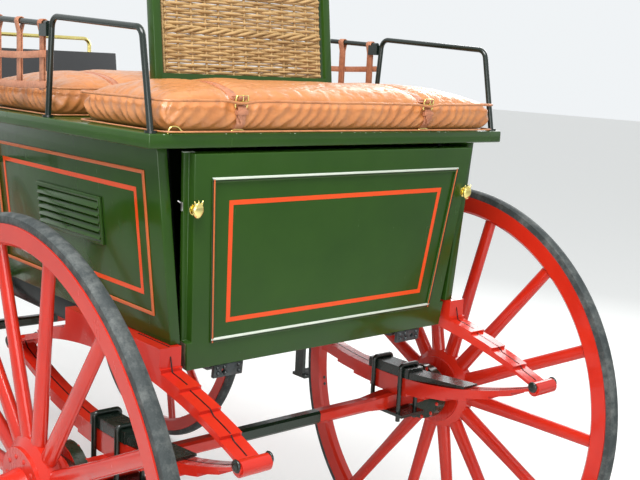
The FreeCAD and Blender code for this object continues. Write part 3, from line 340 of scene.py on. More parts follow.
def smooth_path(points: Sequence[Vector], steps: int = 5) -> list[Vector]:
    """Rounds a given path with a Catmull-Rom curve through its points."""
    ends = [points[0] * 2 - points[1], *points, points[-1] * 2 - points[-2]]
    path: list[Vector] = []
    for before, start, end, after in zip(ends, ends[1:], ends[2:], ends[3:]):
        for index in range(steps):
            t = index / steps
            path.append(0.5 * ((2 * start) + (end - before) * t
                               + (2 * before - 5 * start + 4 * end - after) * t * t
                               + (3 * start - before - 3 * end + after) * t * t * t))
    path.append(points[-1].copy())
    return path


def softened_node(node: str, ease: float, segments: int = 2) -> bpy.types.Object:
    """Copies a CAD node with its edges eased, to stand for it.

    Args:
        node: the CAD node.
        ease: the width of the rounding.
        segments: how many steps the rounding has.

    Returns:
        The new piece, which replaces the node.
    """
    source = frame["nodes"][node]
    obj = copied(source, node + "_finished")
    for key in [key for key in obj.keys() if key.startswith("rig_")]:
        del obj[key]
    obj.parent = None
    obj.matrix_world = Matrix.Identity(4)
    obj.data.materials.clear()
    edit(obj)
    bpy.ops.mesh.remove_doubles(threshold=0.00001)
    bpy.ops.mesh.dissolve_limited(angle_limit=math.radians(1.0))
    leave_edit()
    eased(obj, ease, segments)
    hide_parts(node)
    return obj


def place_bolts(name: str, spots: Iterable[tuple[Vector, Vector]], radius: float, height: float,
                hexagonal: bool = False) -> bpy.types.Object:
    """Makes a joined set of bolt heads.

    Args:
        name: the piece's name.
        spots: (place, outward direction) of each bolt.
        radius: each head's radius.
        height: how far each stands out.
        hexagonal: a nut with a stud in place of a round head.

    Returns:
        The joined piece.
    """
    if hexagonal:
        bpy.ops.mesh.primitive_cylinder_add(vertices=6, radius=radius, depth=height * 0.7,
                                            location=(0, 0, height * 0.35))
        nut = eased(applied(named("nut")), radius * 0.08)
        bpy.ops.mesh.primitive_cylinder_add(vertices=12, radius=radius * 0.5, depth=height,
                                            location=(0, 0, height * 0.5))
        stud = eased(applied(named("stud")), radius * 0.12)
        pattern = joined([nut, stud], "bolt_pattern")
    else:
        bpy.ops.mesh.primitive_uv_sphere_add(segments=12, ring_count=6, radius=1.0)
        pattern = named("bolt_pattern")
        pattern.scale = (radius, radius, height)
        applied(pattern)
        bpy.ops.object.shade_smooth()
    copies = []
    for place, outward in spots:
        copy = copied(pattern, "bolt")
        copies.append(moved(copy, Matrix.Translation(place) @ turned_to(outward)))
    bpy.data.objects.remove(pattern)
    return joined(copies, name)


# ------------------------------------------------------------------ finishes


class Nodes:
    """Adds and links shader nodes in one tree."""

    def __init__(self, tree: bpy.types.NodeTree) -> None:
        """Keeps the tree that nodes go into."""
        self.tree = tree

    def add(self, kind: str, **inputs: object) -> bpy.types.Node:
        """Adds a node and sets or links its inputs.

        Args:
            kind: the node's type.
            inputs: values or output sockets by input name, with _ for a space.

        Returns:
            The node.
        """
        node = self.tree.nodes.new(kind)
        for key, value in inputs.items():
            self.set(node, key.replace("_", " "), value)
        return node

    def set(self, node: bpy.types.Node, key: str | int, value: object) -> None:
        """Sets one input of a node, or links an output socket to it."""
        if isinstance(value, bpy.types.NodeSocket):
            self.tree.links.new(value, node.inputs[key])
        else:
            node.inputs[key].default_value = value

    def math(self, operation: str, first: object, second: object = 0.0) -> bpy.types.NodeSocket:
        """Adds a Math node and returns its result."""
        node = self.tree.nodes.new("ShaderNodeMath")
        node.operation = operation
        self.set(node, 0, first)
        self.set(node, 1, second)
        return node.outputs[0]

    def noise(self, vector: object, scale: float | object, detail: float = 3.0,
              roughness: float = 0.5) -> bpy.types.NodeSocket:
        """Adds a Noise Texture and returns its value."""
        node = self.add("ShaderNodeTexNoise", Vector=vector, Scale=scale, Detail=detail, Roughness=roughness)
        return node.outputs[0]

    def mapped(self, value: object, low: float, high: float, to_low: float = 0.0,
               to_high: float = 1.0) -> bpy.types.NodeSocket:
        """Adds a Map Range node and returns its result."""
        node = self.tree.nodes.new("ShaderNodeMapRange")
        self.set(node, 0, value)
        for index, number in enumerate((low, high, to_low, to_high), start=1):
            self.set(node, index, number)
        return node.outputs[0]

    def mix(self, share: object, first: object, second: object) -> bpy.types.NodeSocket:
        """Adds a colour Mix node and returns its result."""
        node = self.tree.nodes.new("ShaderNodeMix")
        node.data_type = "RGBA"
        self.set(node, 0, share)
        self.set(node, 6, first)
        self.set(node, 7, second)
        return node.outputs[2]

    def stretched(self, vector: object, scale: Sequence[float]) -> bpy.types.NodeSocket:
        """Adds a Mapping node that scales a pattern."""
        node = self.add("ShaderNodeMapping", Vector=vector)
        node.inputs["Scale"].default_value = scale
        return node.outputs[0]


def new_group(name: str, inputs: dict[str, tuple[str, object]], outputs: dict[str, str]) -> tuple:
    """Makes an empty shader node group.

    Args:
        name: the group's name.
        inputs: (socket type, default) by name.
        outputs: socket type by name.

    Returns:
        The group, its node maker, its input node and its output node.
    """
    group = bpy.data.node_groups.new(name, "ShaderNodeTree")
    for key, (kind, default) in inputs.items():
        socket = group.interface.new_socket(key, in_out="INPUT", socket_type=kind)
        if default is not None:
            socket.default_value = default
    for key, kind in outputs.items():
        group.interface.new_socket(key, in_out="OUTPUT", socket_type=kind)
    make = Nodes(group)
    return group, make, make.add("NodeGroupInput"), make.add("NodeGroupOutput")


FLOAT = "NodeSocketFloat"
VECTOR = "NodeSocketVector"


def make_paint_group() -> bpy.types.NodeTree:
    """Group for brushed enamel: cloudy colour, smeared roughness and small chips."""
    group, make, given, out = new_group(
        "enamel_surface",
        {"Vector": (VECTOR, None), "Cloud Scale": (FLOAT, 6.0), "Chip Scale": (FLOAT, 60.0),
         "Chip Amount": (FLOAT, 0.1)},
        {"Cloud": FLOAT, "Chips": FLOAT, "Height": FLOAT, "Smears": FLOAT})
    vector = given.outputs["Vector"]
    cloud = make.noise(vector, given.outputs["Cloud Scale"], 4.0, 0.6)
    coarse = make.noise(vector, given.outputs["Chip Scale"], 6.0, 0.65)
    patches = make.noise(vector, 3.1, 2.0)
    threshold = make.math("SUBTRACT", 0.80, make.math("MULTIPLY", given.outputs["Chip Amount"], patches))
    chips = make.mapped(coarse, 0.0, 1.0)
    chips = make.math("GREATER_THAN", chips, threshold)
    peel = make.noise(vector, 240.0, 2.0)
    wavy = make.noise(vector, 14.0, 2.0)
    height = make.math("ADD", make.math("MULTIPLY", peel, 0.10), make.math("MULTIPLY", wavy, 0.9))
    height = make.math("SUBTRACT", height, make.math("MULTIPLY", chips, 0.6))
    smears = make.noise(make.stretched(vector, (1.0, 1.0, 0.25)), 30.0, 5.0, 0.7)
    make.set(out, "Cloud", make.mapped(cloud, 0.3, 0.7))
    make.set(out, "Chips", chips)
    make.set(out, "Height", height)
    make.set(out, "Smears", smears)
    return group


def make_leather_group() -> bpy.types.NodeTree:
    """Group for leather: pebbled grain, creases and patchy colour."""
    group, make, given, out = new_group(
        "leather_surface",
        {"Vector": (VECTOR, None), "Grain Scale": (FLOAT, 420.0), "Crease Scale": (FLOAT, 26.0)},
        {"Patches": FLOAT, "Creases": FLOAT, "Height": FLOAT, "Grain": FLOAT})
    vector = given.outputs["Vector"]
    cells = make.add("ShaderNodeTexVoronoi", Vector=vector, Scale=given.outputs["Grain Scale"])
    cells.feature = "DISTANCE_TO_EDGE"
    grain = make.mapped(cells.outputs[0], 0.0, 0.28)
    bent = make.noise(vector, given.outputs["Crease Scale"], 5.0, 0.6)
    creases = make.math("ABSOLUTE", make.math("SUBTRACT", bent, 0.5))
    creases = make.mapped(creases, 0.0, 0.05)
    patches = make.noise(vector, 9.0, 4.0, 0.65)
    height = make.math("ADD", make.math("MULTIPLY", grain, 0.35), make.math("MULTIPLY", creases, 0.5))
    make.set(out, "Patches", make.mapped(patches, 0.3, 0.72))
    make.set(out, "Creases", creases)
    make.set(out, "Height", height)
    make.set(out, "Grain", grain)
    return group


def make_timber_group() -> bpy.types.NodeTree:
    """Group for timber: long grain lines and pores along one axis."""
    group, make, given, out = new_group(
        "timber_surface",
        {"Vector": (VECTOR, None), "Line Scale": (FLOAT, 40.0)},
        {"Lines": FLOAT, "Pores": FLOAT, "Height": FLOAT})
    vector = given.outputs["Vector"]
    warp = make.noise(vector, 5.0, 3.0)
    lines = make.noise(vector, given.outputs["Line Scale"], 8.0, 0.7)
    rings = make.math("SINE", make.math("MULTIPLY", make.math("ADD", lines, warp), 26.0))
    rings = make.mapped(rings, -1.0, 1.0)
    pores = make.noise(vector, 300.0, 4.0, 0.8)
    make.set(out, "Lines", rings)
    make.set(out, "Pores", pores)
    make.set(out, "Height", make.math("ADD", make.math("MULTIPLY", rings, 0.5), pores))
    return group


def make_metal_group() -> bpy.types.NodeTree:
    """Group for cast and polished metal: tarnish, fine scratches and small pits."""
    group, make, given, out = new_group(
        "metal_surface",
        {"Vector": (VECTOR, None), "Pit Scale": (FLOAT, 220.0)},
        {"Tarnish": FLOAT, "Scratches": FLOAT, "Height": FLOAT})
    vector = given.outputs["Vector"]
    tarnish = make.noise(vector, 45.0, 5.0, 0.7)
    scratches = make.noise(make.stretched(vector, (30.0, 900.0, 400.0)), 1.0, 3.0, 0.6)
    pits = make.noise(vector, given.outputs["Pit Scale"], 5.0, 0.7)
    make.set(out, "Tarnish", make.mapped(tarnish, 0.35, 0.7))
    make.set(out, "Scratches", scratches)
    make.set(out, "Height", make.math("ADD", make.math("MULTIPLY", scratches, 0.3), pits))
    return group


class Groups:
    """The shared shader groups, each built once."""

    paint: bpy.types.NodeTree
    leather: bpy.types.NodeTree
    timber: bpy.types.NodeTree
    metal: bpy.types.NodeTree

    @classmethod
    def build(cls) -> None:
        """Makes every group."""
        cls.paint = make_paint_group()
        cls.leather = make_leather_group()
        cls.timber = make_timber_group()
        cls.metal = make_metal_group()


def start_material(name: str) -> tuple[bpy.types.Material, Nodes, bpy.types.Node, bpy.types.NodeSocket]:
    """Makes a material with a Principled BSDF.

    Args:
        name: the material's name.

    Returns:
        The material, its node maker, the shader node and the Object coordinates.
    """
    material = bpy.data.materials.new(name)
    material.use_nodes = True
    make = Nodes(material.node_tree)
    shader = material.node_tree.nodes["Principled BSDF"]
    place = make.add("ShaderNodeTexCoord").outputs["Object"]
    return material, make, shader, place


def use_group(make: Nodes, group: bpy.types.NodeTree, **inputs: object) -> bpy.types.Node:
    """Places a shared group in a material with its own values."""
    node = make.tree.nodes.new("ShaderNodeGroup")
    node.node_tree = group
    for key, value in inputs.items():
        make.set(node, key.replace("_", " "), value)
    return node


def bumped(make: Nodes, shader: bpy.types.Node, height: bpy.types.NodeSocket, strength: float,
           distance: float) -> None:
    """Feeds a height through a Bump node to the shader's normal."""
    bump = make.add("ShaderNodeBump", Strength=strength, Distance=distance, Height=height)
    make.tree.links.new(bump.outputs[0], shader.inputs["Normal"])


def rgba(colour: Colour) -> tuple[float, float, float, float]:
    """Adds a full alpha to a colour."""
    return (*colour, 1.0)


@dataclass(frozen=True)
class Enamel:
    """Coach enamel under clear varnish."""

    name: str
    colour: Colour
    shade: Colour
    beneath: Colour = (0.03, 0.03, 0.03)
    roughness: float = 0.16
    chip_amount: float = 0.06
    chip_scale: float = 70.0
    band: tuple[float, Colour] | None = None
    coat: float = 0.12
    specular: float = 0.26

    def build(self) -> bpy.types.Material:
        """Makes the material. A band repaints what lies within its distance of the cart's middle."""
        material, make, shader, place = start_material(self.name)
        surface = use_group(make, Groups.paint, Vector=place, Cloud_Scale=4.0, Chip_Scale=self.chip_scale,
                            Chip_Amount=self.chip_amount)
        body = make.mix(surface.outputs["Cloud"], rgba(self.colour), rgba(self.shade))
        if self.band:
            reach, colour = self.band
            split = make.add("ShaderNodeSeparateXYZ", Vector=place)
            away = make.math("ABSOLUTE", split.outputs[0])
            inside = make.math("LESS_THAN", away, reach)
            body = make.mix(inside, body, rgba(colour))
        make.set(shader, "Base Color", make.mix(surface.outputs["Chips"], body, rgba(self.beneath)))
        worn = make.mapped(surface.outputs["Smears"], 0.35, 0.75, self.roughness, self.roughness + 0.14)
        make.set(shader, "Roughness", make.math("ADD", worn, make.math("MULTIPLY", surface.outputs["Chips"], 0.3)))
        make.set(shader, "Specular IOR Level", self.specular)
        make.set(shader, "Coat Weight", self.coat)
        make.set(shader, "Coat Roughness", 0.03)
        bumped(make, shader, surface.outputs["Height"], 0.12, 0.0006)
        return material


@dataclass(frozen=True)
class HubEnamel:
    """The wheel hubs' enamel: red, with the moon plate inboard of a given distance in dark green."""

    name: str
    colour: Colour
    shade: Colour
    inner_colour: Colour
    inner_reach: float

    def build(self) -> bpy.types.Material:
        """Makes the material."""
        material, make, shader, place = start_material(self.name)
        surface = use_group(make, Groups.paint, Vector=place, Chip_Scale=90.0, Chip_Amount=0.1)
        body = make.mix(surface.outputs["Cloud"], rgba(self.colour), rgba(self.shade))
        split = make.add("ShaderNodeSeparateXYZ", Vector=place)
        away = make.math("ABSOLUTE", split.outputs[0])
        body = make.mix(make.math("LESS_THAN", away, self.inner_reach), body, rgba(self.inner_colour))
        make.set(shader, "Base Color", make.mix(surface.outputs["Chips"], body, rgba((0.02, 0.02, 0.02))))
        make.set(shader, "Roughness", make.mapped(surface.outputs["Smears"], 0.35, 0.75, 0.2, 0.4))
        make.set(shader, "Specular IOR Level", 0.35)
        make.set(shader, "Coat Weight", 0.2)
        make.set(shader, "Coat Roughness", 0.06)
        bumped(make, shader, surface.outputs["Height"], 0.15, 0.0006)
        return material


@dataclass(frozen=True)
class Leather:
    """Dyed leather with grain and handled patches, darker along its creases as painted shade."""

    name: str
    colour: Colour
    worn: Colour
    # Colour laid along the creases: painted shade in the folds.
    dark: Colour
    grain_scale: float = 380.0
    crease_scale: float = 24.0
    roughness: float = 0.36
    coat: float = 0.15
    bump: float = 0.35
    seam_share: float = 0.4

    def build(self) -> bpy.types.Material:
        """Makes the material."""
        material, make, shader, place = start_material(self.name)
        surface = use_group(make, Groups.leather, Vector=place, Grain_Scale=self.grain_scale,
                            Crease_Scale=self.crease_scale)
        body = make.mix(surface.outputs["Patches"], rgba(self.colour), rgba(self.worn))
        # Darkens the colour along the creases: painted shade in the leather's folds.
        seams = make.math("MULTIPLY", make.math("SUBTRACT", 1.0, surface.outputs["Creases"]), self.seam_share)
        make.set(shader, "Base Color", make.mix(seams, body, rgba(self.dark)))
        make.set(shader, "Roughness", make.mapped(surface.outputs["Patches"], 0.0, 1.0, self.roughness + 0.12,
                                                  self.roughness))
        make.set(shader, "Coat Weight", self.coat)
        make.set(shader, "Coat Roughness", 0.22)
        bumped(make, shader, surface.outputs["Height"], self.bump, 0.0008)
        return material


@dataclass(frozen=True)
class Timber:
    """Bare or varnished timber with its grain along one axis."""

    name: str
    light: Colour
    dark: Colour
    along: tuple[float, float, float]
    roughness: float = 0.5

    def build(self) -> bpy.types.Material:
        """Makes the material."""
        material, make, shader, place = start_material(self.name)
        surface = use_group(make, Groups.timber, Vector=make.stretched(place, self.along), Line_Scale=30.0)
        make.set(shader, "Base Color", make.mix(surface.outputs["Lines"], rgba(self.light), rgba(self.dark)))
        make.set(shader, "Roughness", make.mapped(surface.outputs["Pores"], 0.3, 0.7, self.roughness,
                                                  self.roughness + 0.2))
        bumped(make, shader, surface.outputs["Height"], 0.25, 0.0006)
        return material


@dataclass(frozen=True)
class Metal:
    """Bare or painted metal."""

    name: str
    colour: Colour
    tarnished: Colour
    metallic: float
    roughness: float
    bump: float = 0.1
    coat: float = 0.0

    def build(self) -> bpy.types.Material:
        """Makes the material."""
        material, make, shader, place = start_material(self.name)
        surface = use_group(make, Groups.metal, Vector=place)
        make.set(shader, "Base Color", make.mix(surface.outputs["Tarnish"], rgba(self.colour), rgba(self.tarnished)))
        make.set(shader, "Metallic", self.metallic)
        make.set(shader, "Roughness", make.mapped(surface.outputs["Tarnish"], 0.0, 1.0, self.roughness,
                                                  self.roughness + 0.18))
        make.set(shader, "Coat Weight", self.coat)
        bumped(make, shader, surface.outputs["Height"], self.bump, 0.0005)
        return material


@dataclass(frozen=True)
class Willow:
    """Peeled willow rods, buff with darker streaks."""

    name: str
    light: Colour
    dark: Colour

    def build(self) -> bpy.types.Material:
        """Makes the material."""
        material, make, shader, place = start_material(self.name)
        surface = use_group(make, Groups.timber, Vector=make.stretched(place, (0.4, 3.0, 3.0)), Line_Scale=36.0)
        rods = make.noise(make.stretched(place, (5.0, 10.0, 150.0)), 1.0, 2.0)
        blend = make.math("MULTIPLY", make.mapped(rods, 0.35, 0.65), surface.outputs["Lines"])
        make.set(shader, "Base Color", make.mix(blend, rgba(self.light), rgba(self.dark)))
        make.set(shader, "Roughness", make.mapped(surface.outputs["Pores"], 0.3, 0.7, 0.35, 0.6))
        bumped(make, shader, surface.outputs["Height"], 0.2, 0.0004)
        return material


@dataclass(frozen=True)
class Rubber:
    """Dull solid rubber with road dust."""

    name: str
    colour: Colour
    dust: Colour

    def build(self) -> bpy.types.Material:
        """Makes the material."""
        material, make, shader, place = start_material(self.name)
        dust = make.noise(place, 26.0, 8.0, 0.75)
        fine = make.noise(place, 300.0, 4.0)
        share = make.mapped(dust, 0.46, 0.72, 0.0, 0.75)
        make.set(shader, "Base Color", make.mix(share, rgba(self.colour), rgba(self.dust)))
        make.set(shader, "Roughness", make.mapped(fine, 0.3, 0.7, 0.55, 0.8))
        bumped(make, shader, fine, 0.3, 0.0006)
        return material


class Finish:
    """Every finished material of the cart, built once."""

    green: bpy.types.Material
    black: bpy.types.Material
    red: bpy.types.Material
    axle: bpy.types.Material
    hub: bpy.types.Material
    iron: bpy.types.Material
    cast: bpy.types.Material
    rubber: bpy.types.Material
    boards: bpy.types.Material
    end_grain: bpy.types.Material
    cushion: bpy.types.Material
    piping: bpy.types.Material
    strap: bpy.types.Material
    patent: bpy.types.Material
    willow: bpy.types.Material
    brass: bpy.types.Material
    broad_line: bpy.types.Material
    fine_line: bpy.types.Material
    dark_line: bpy.types.Material
    pale_line: bpy.types.Material
    dark_cloth: bpy.types.Material
    pale_wear: bpy.types.Material
    bright_iron: bpy.types.Material

    @classmethod
    def build(cls) -> None:
        """Makes every material."""
        red = (0.60, 0.026, 0.010)
        red_shade = (0.47, 0.014, 0.006)
        green = (0.024, 0.070, 0.007)
        green_dark = (0.008, 0.022, 0.010)
        cls.green = Enamel("green_coach_enamel", green, (0.017, 0.054, 0.006), (0.05, 0.045, 0.03),
                           chip_amount=0.05).build()
        cls.black = Enamel("black_coach_enamel", (0.006, 0.009, 0.007), (0.004, 0.006, 0.005)).build()
        cls.red = Enamel("red_coach_enamel", red, red_shade, (0.02, 0.01, 0.01), chip_amount=0.1,
                         chip_scale=55.0, coat=0.3, specular=0.4).build()
        cls.axle = Enamel("axle_enamel", red, red_shade, (0.02, 0.01, 0.01), chip_amount=0.1,
                          band=(0.147, green_dark), coat=0.3, specular=0.4).build()
        cls.hub = HubEnamel("hub_enamel", red, red_shade, green_dark, 0.551).build()
        cls.iron = Enamel("iron_enamel", (0.009, 0.017, 0.012), (0.006, 0.011, 0.008), (0.08, 0.08, 0.075),
                          roughness=0.2, chip_amount=0.12, chip_scale=90.0, coat=0.3, specular=0.4).build()
        cls.cast = Metal("cast_iron_worn", (0.012, 0.016, 0.015), (0.05, 0.06, 0.065), 0.4, 0.3, 0.9, 0.3).build()
        cls.rubber = Rubber("tyre_rubber", (0.028, 0.036, 0.036), (0.16, 0.17, 0.16)).build()
        cls.boards = Timber("varnished_boards", (0.17, 0.10, 0.045), (0.08, 0.045, 0.02), (3.0, 0.35, 3.0)).build()
        cls.end_grain = Timber("bare_end_grain", (0.15, 0.11, 0.055), (0.03, 0.025, 0.015), (6.0, 6.0, 0.8),
                               0.75).build()
        cls.cushion = Leather("tan_cushion_leather", (0.49, 0.175, 0.050), (0.57, 0.235, 0.080),
                              (0.26, 0.080, 0.022), seam_share=0.14, roughness=0.27, coat=0.35).build()
        cls.piping = Leather("piping_leather", (0.46, 0.17, 0.06), (0.55, 0.24, 0.10), (0.2, 0.06, 0.02),
                             bump=0.2).build()
        cls.strap = Leather("strap_leather", (0.40, 0.135, 0.060), (0.56, 0.25, 0.14), (0.16, 0.045, 0.02),
                            crease_scale=60.0, roughness=0.42).build()
        cls.patent = Leather("patent_leather", (0.010, 0.010, 0.011), (0.014, 0.014, 0.015), (0.006, 0.006, 0.006),
                             roughness=0.16, coat=0.8, bump=0.15).build()
        cls.willow = Willow("peeled_willow", (0.47, 0.31, 0.135), (0.24, 0.135, 0.048)).build()
        cls.brass = Metal("polished_brass", (0.90, 0.78, 0.30), (0.74, 0.60, 0.18), 1.0, 0.14).build()
        cls.broad_line = Enamel("broad_line_orange", (0.80, 0.080, 0.010), (0.74, 0.068, 0.008)).build()
        cls.fine_line = Enamel("fine_line_tan", (0.60, 0.13, 0.030), (0.50, 0.12, 0.035)).build()
        # Pale strip on the tailboard bead's upper flank: a painted highlight.
        cls.pale_line = Enamel("pale_line", (0.50, 0.58, 0.47), (0.72, 0.76, 0.68), roughness=0.1).build()
        # Black for the springs' centre lines, and for painted shade and shadow beside the tailboard bead's strips.
        cls.dark_line = Enamel("dark_line_black", (0.012, 0.008, 0.008), (0.01, 0.008, 0.008)).build()
        cls.dark_cloth = Rubber("floor_mat", (0.016, 0.016, 0.015), (0.03, 0.03, 0.028)).build()
        # Pale for the seat board's worn chips, and for the painted highlight on the tailboard flange's top edge.
        cls.pale_wear = Metal("pale_worn_edge", (0.55, 0.60, 0.52), (0.30, 0.36, 0.28), 0.0, 0.5, 0.4).build()
        cls.bright_iron = Metal("bright_iron", (0.62, 0.62, 0.60), (0.20, 0.19, 0.18), 1.0, 0.3, 0.4).build()


def paint(obj: bpy.types.Object, material: bpy.types.Material) -> bpy.types.Object:
    """Gives a piece one material, in place of any it has."""
    obj.data.materials.clear()
    obj.data.materials.append(material)
    return obj


def finished(obj: bpy.types.Object, body: Body | str, slot: str, material: bpy.types.Material) -> bpy.types.Object:
    """Paints a piece, hangs it on its body, and reports it.

    Args:
        obj: the piece, in its final place.
        body: the body that it rides on.
        slot: the record's material slot; not used.
        material: its finish.

    Returns:
        The same piece.
    """
    applied(obj)
    paint(obj, material)
    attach(obj, body.value if isinstance(body, Body) else body)
    LOG.info("%s: %d faces", obj.name, len(obj.data.polygons))
    return obj


def node_finish(node: str, material: bpy.types.Material) -> None:
    """Gives a carried-over CAD node its finish."""
    obj = frame["nodes"][node]
    if not obj.material_slots:
        obj.data.materials.append(material)
    for place in obj.material_slots:
        place.material = material


# ------------------------------------------------------------------ measuring the frame

REAR_Y = sum(corner.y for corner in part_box("rear_axle")) / 2


def at(x: float, y: float, z: float) -> Vector:
    """Returns a place given by its distance in front of the rear axle."""
    return Vector((x, REAR_Y + y, z))


class Surface:
    """The skin of a mesh, to lay straps and lines on."""

    def __init__(self, obj: bpy.types.Object) -> None:
        """Keeps a search tree of the object's faces."""
        mesh = obj.data
        self.tree = BVHTree.FromPolygons([vertex.co.copy() for vertex in mesh.vertices],
                                         [tuple(face.vertices) for face in mesh.polygons])

    def hit(self, start: Vector, direction: Vector, fallback: Vector) -> Vector:
        """Returns where a ray meets the skin, or a fallback where it misses."""
        place = self.tree.ray_cast(start, direction)[0]
        return fallback if place is None else place

    def top(self, x: float, y: float, above: float, fallback: float) -> float:
        """Returns the height of the skin's top at a place.

        Args:
            x: the place along X.
            y: the place along Y.
            above: a height over the skin.
            fallback: the height to use where there is no skin.

        Returns:
            The height.
        """
        return self.hit(Vector((x, y, above)), Vector((0, 0, -1)), Vector((x, y, fallback))).z


def flat_frame(name: str, corners: Sequence[Vector], width: float, height: float, round_over: float = 0.0,
               segments: int = 3) -> bpy.types.Object:
    """Makes a raised frame along the edge of a flat four-cornered field.

    Args:
        name: the piece's name.
        corners: the field's corners, anticlockwise seen from outside.
        width: the frame's width, inwards from the corners.
        height: how far it stands out.
        round_over: the rounding of its edges.
        segments: how many steps the rounding has.

    Returns:
        The frame.
    """
    bpy.ops.mesh.primitive_plane_add(size=1)
    obj = named(name)
    for index, corner in zip((0, 1, 3, 2), corners):
        obj.data.vertices[index].co = corner
    edit(obj)
    bpy.ops.mesh.inset(thickness=width, depth=0)
    bpy.ops.mesh.delete(type="FACE")
    leave_edit()
    with_modifier(obj, "SOLIDIFY", thickness=height, offset=1.0)
    if round_over:
        eased(obj, round_over, segments)
    return obj


def panel_block(name: str, corners: Sequence[Vector], height: float, ease: float) -> bpy.types.Object:
    """Makes a thin raised panel over a flat four-cornered field."""
    bpy.ops.mesh.primitive_plane_add(size=1)
    obj = named(name)
    for index, corner in zip((0, 1, 3, 2), corners):
        obj.data.vertices[index].co = corner
    with_modifier(obj, "SOLIDIFY", thickness=height, offset=1.0)
    return eased(obj, ease) if ease else obj


# ------------------------------------------------------------------ stage


@dataclass(frozen=True)
class Stage:
    """The floor, backdrop, light and camera."""

    camera_place: tuple[float, float, float] = (-1.4917, -1.8708, 1.4498)
    camera_yaw: float = 40.92
    camera_pitch: float = 9.75
    camera_roll: float = 2.77
    lens: float = 57.805
    floor_reach: float = 30.0
    floor_glow: float = 0.25

    def build(self) -> None:
        """Makes everything on the stage."""
        self.floor()
        self.world()
        self.lamps()
        self.camera()
        bpy.context.scene.view_settings.view_transform = "Standard"
        LOG.info("stage ready")

    def floor(self) -> None:
        """Makes a pale floor that shows plainly to the camera and in polished metal."""
        bpy.ops.mesh.primitive_plane_add(size=2 * self.floor_reach, location=(0, 0, CAD_LOW.z))
        floor = named("studio_floor")
        material = bpy.data.materials.new("pale_floor")
        material.use_nodes = True
        make = Nodes(material.node_tree)
        shader = material.node_tree.nodes["Principled BSDF"]
        make.set(shader, "Base Color", (0.80, 0.81, 0.79, 1.0))
        make.set(shader, "Roughness", 0.85)
        make.set(shader, "Emission Color", (1.0, 1.0, 1.0, 1.0))
        seen = make.add("ShaderNodeLightPath").outputs["Is Camera Ray"]
        make.set(shader, "Emission Strength", make.mapped(seen, 0.0, 1.0, 0.0, self.floor_glow))
        paint(floor, material)

    def world(self) -> None:
        """Lights the air evenly and shows a white backdrop to the camera, metal and glass."""
        world = bpy.data.worlds.new("studio_air")
        bpy.context.scene.world = world
        world.use_nodes = True
        make = Nodes(world.node_tree)
        background = world.node_tree.nodes["Background"]
        path = make.add("ShaderNodeLightPath")
        seen = make.math("MAXIMUM", path.outputs["Is Camera Ray"], path.outputs["Is Glossy Ray"])
        seen = make.math("MAXIMUM", seen, path.outputs["Is Transmission Ray"])
        make.set(background, "Color", (0.95, 0.98, 1.0, 1.0))
        make.set(background, "Strength", make.mapped(seen, 0.0, 1.0, 0.55, 0.92))

    def lamps(self) -> None:
        """Sets a high soft key, a low fill and a rim."""
        self.lamp("key", at(-1.6, -1.2, 4.2), at(0, 0.2, 1.0), (2.6, 1.6), 190.0)
        self.lamp("fill", at(-2.8, -3.4, 1.6), at(0, 0.0, 0.9), (3.0, 2.0), 70.0)
        self.lamp("rim", at(3.4, 1.6, 2.6), at(0, 0.4, 1.0), (2.0, 2.0), 60.0)

    def lamp(self, name: str, place: Vector, target: Vector, size: tuple[float, float], power: float) -> None:
        """Hangs one rectangular lamp that looks at a target."""
        bpy.ops.object.light_add(type="AREA", location=place)
        lamp = bpy.context.active_object
        lamp.name = name
        lamp.data.shape = "RECTANGLE"
        lamp.data.size, lamp.data.size_y = size
        lamp.data.energy = power
        lamp.rotation_euler = (target - place).to_track_quat("-Z", "Y").to_euler()

    def camera(self) -> None:
        """Sets the camera behind the cart's left rear corner."""
        yaw = math.radians(self.camera_yaw)
        pitch = math.radians(self.camera_pitch)
        ahead = Vector((math.sin(yaw) * math.cos(pitch), math.cos(yaw) * math.cos(pitch), -math.sin(pitch)))
        level_right = Vector((math.cos(yaw), -math.sin(yaw), 0))
        level_up = level_right.cross(ahead)
        roll = math.radians(self.camera_roll)
        right = level_right * math.cos(roll) + level_up * math.sin(roll)
        up = level_up * math.cos(roll) - level_right * math.sin(roll)
        bpy.ops.object.camera_add(location=at(*self.camera_place))
        camera = bpy.context.active_object
        camera.name = "rear_quarter_camera"
        turn = Matrix((right, up, -ahead)).transposed().to_4x4()
        camera.matrix_world = Matrix.Translation(at(*self.camera_place)) @ turn
        camera.data.lens = self.lens
        camera.data.sensor_width = 36.0
        camera.data.clip_end = 200.0
        bpy.context.scene.camera = camera


# ------------------------------------------------------------------ coachwork


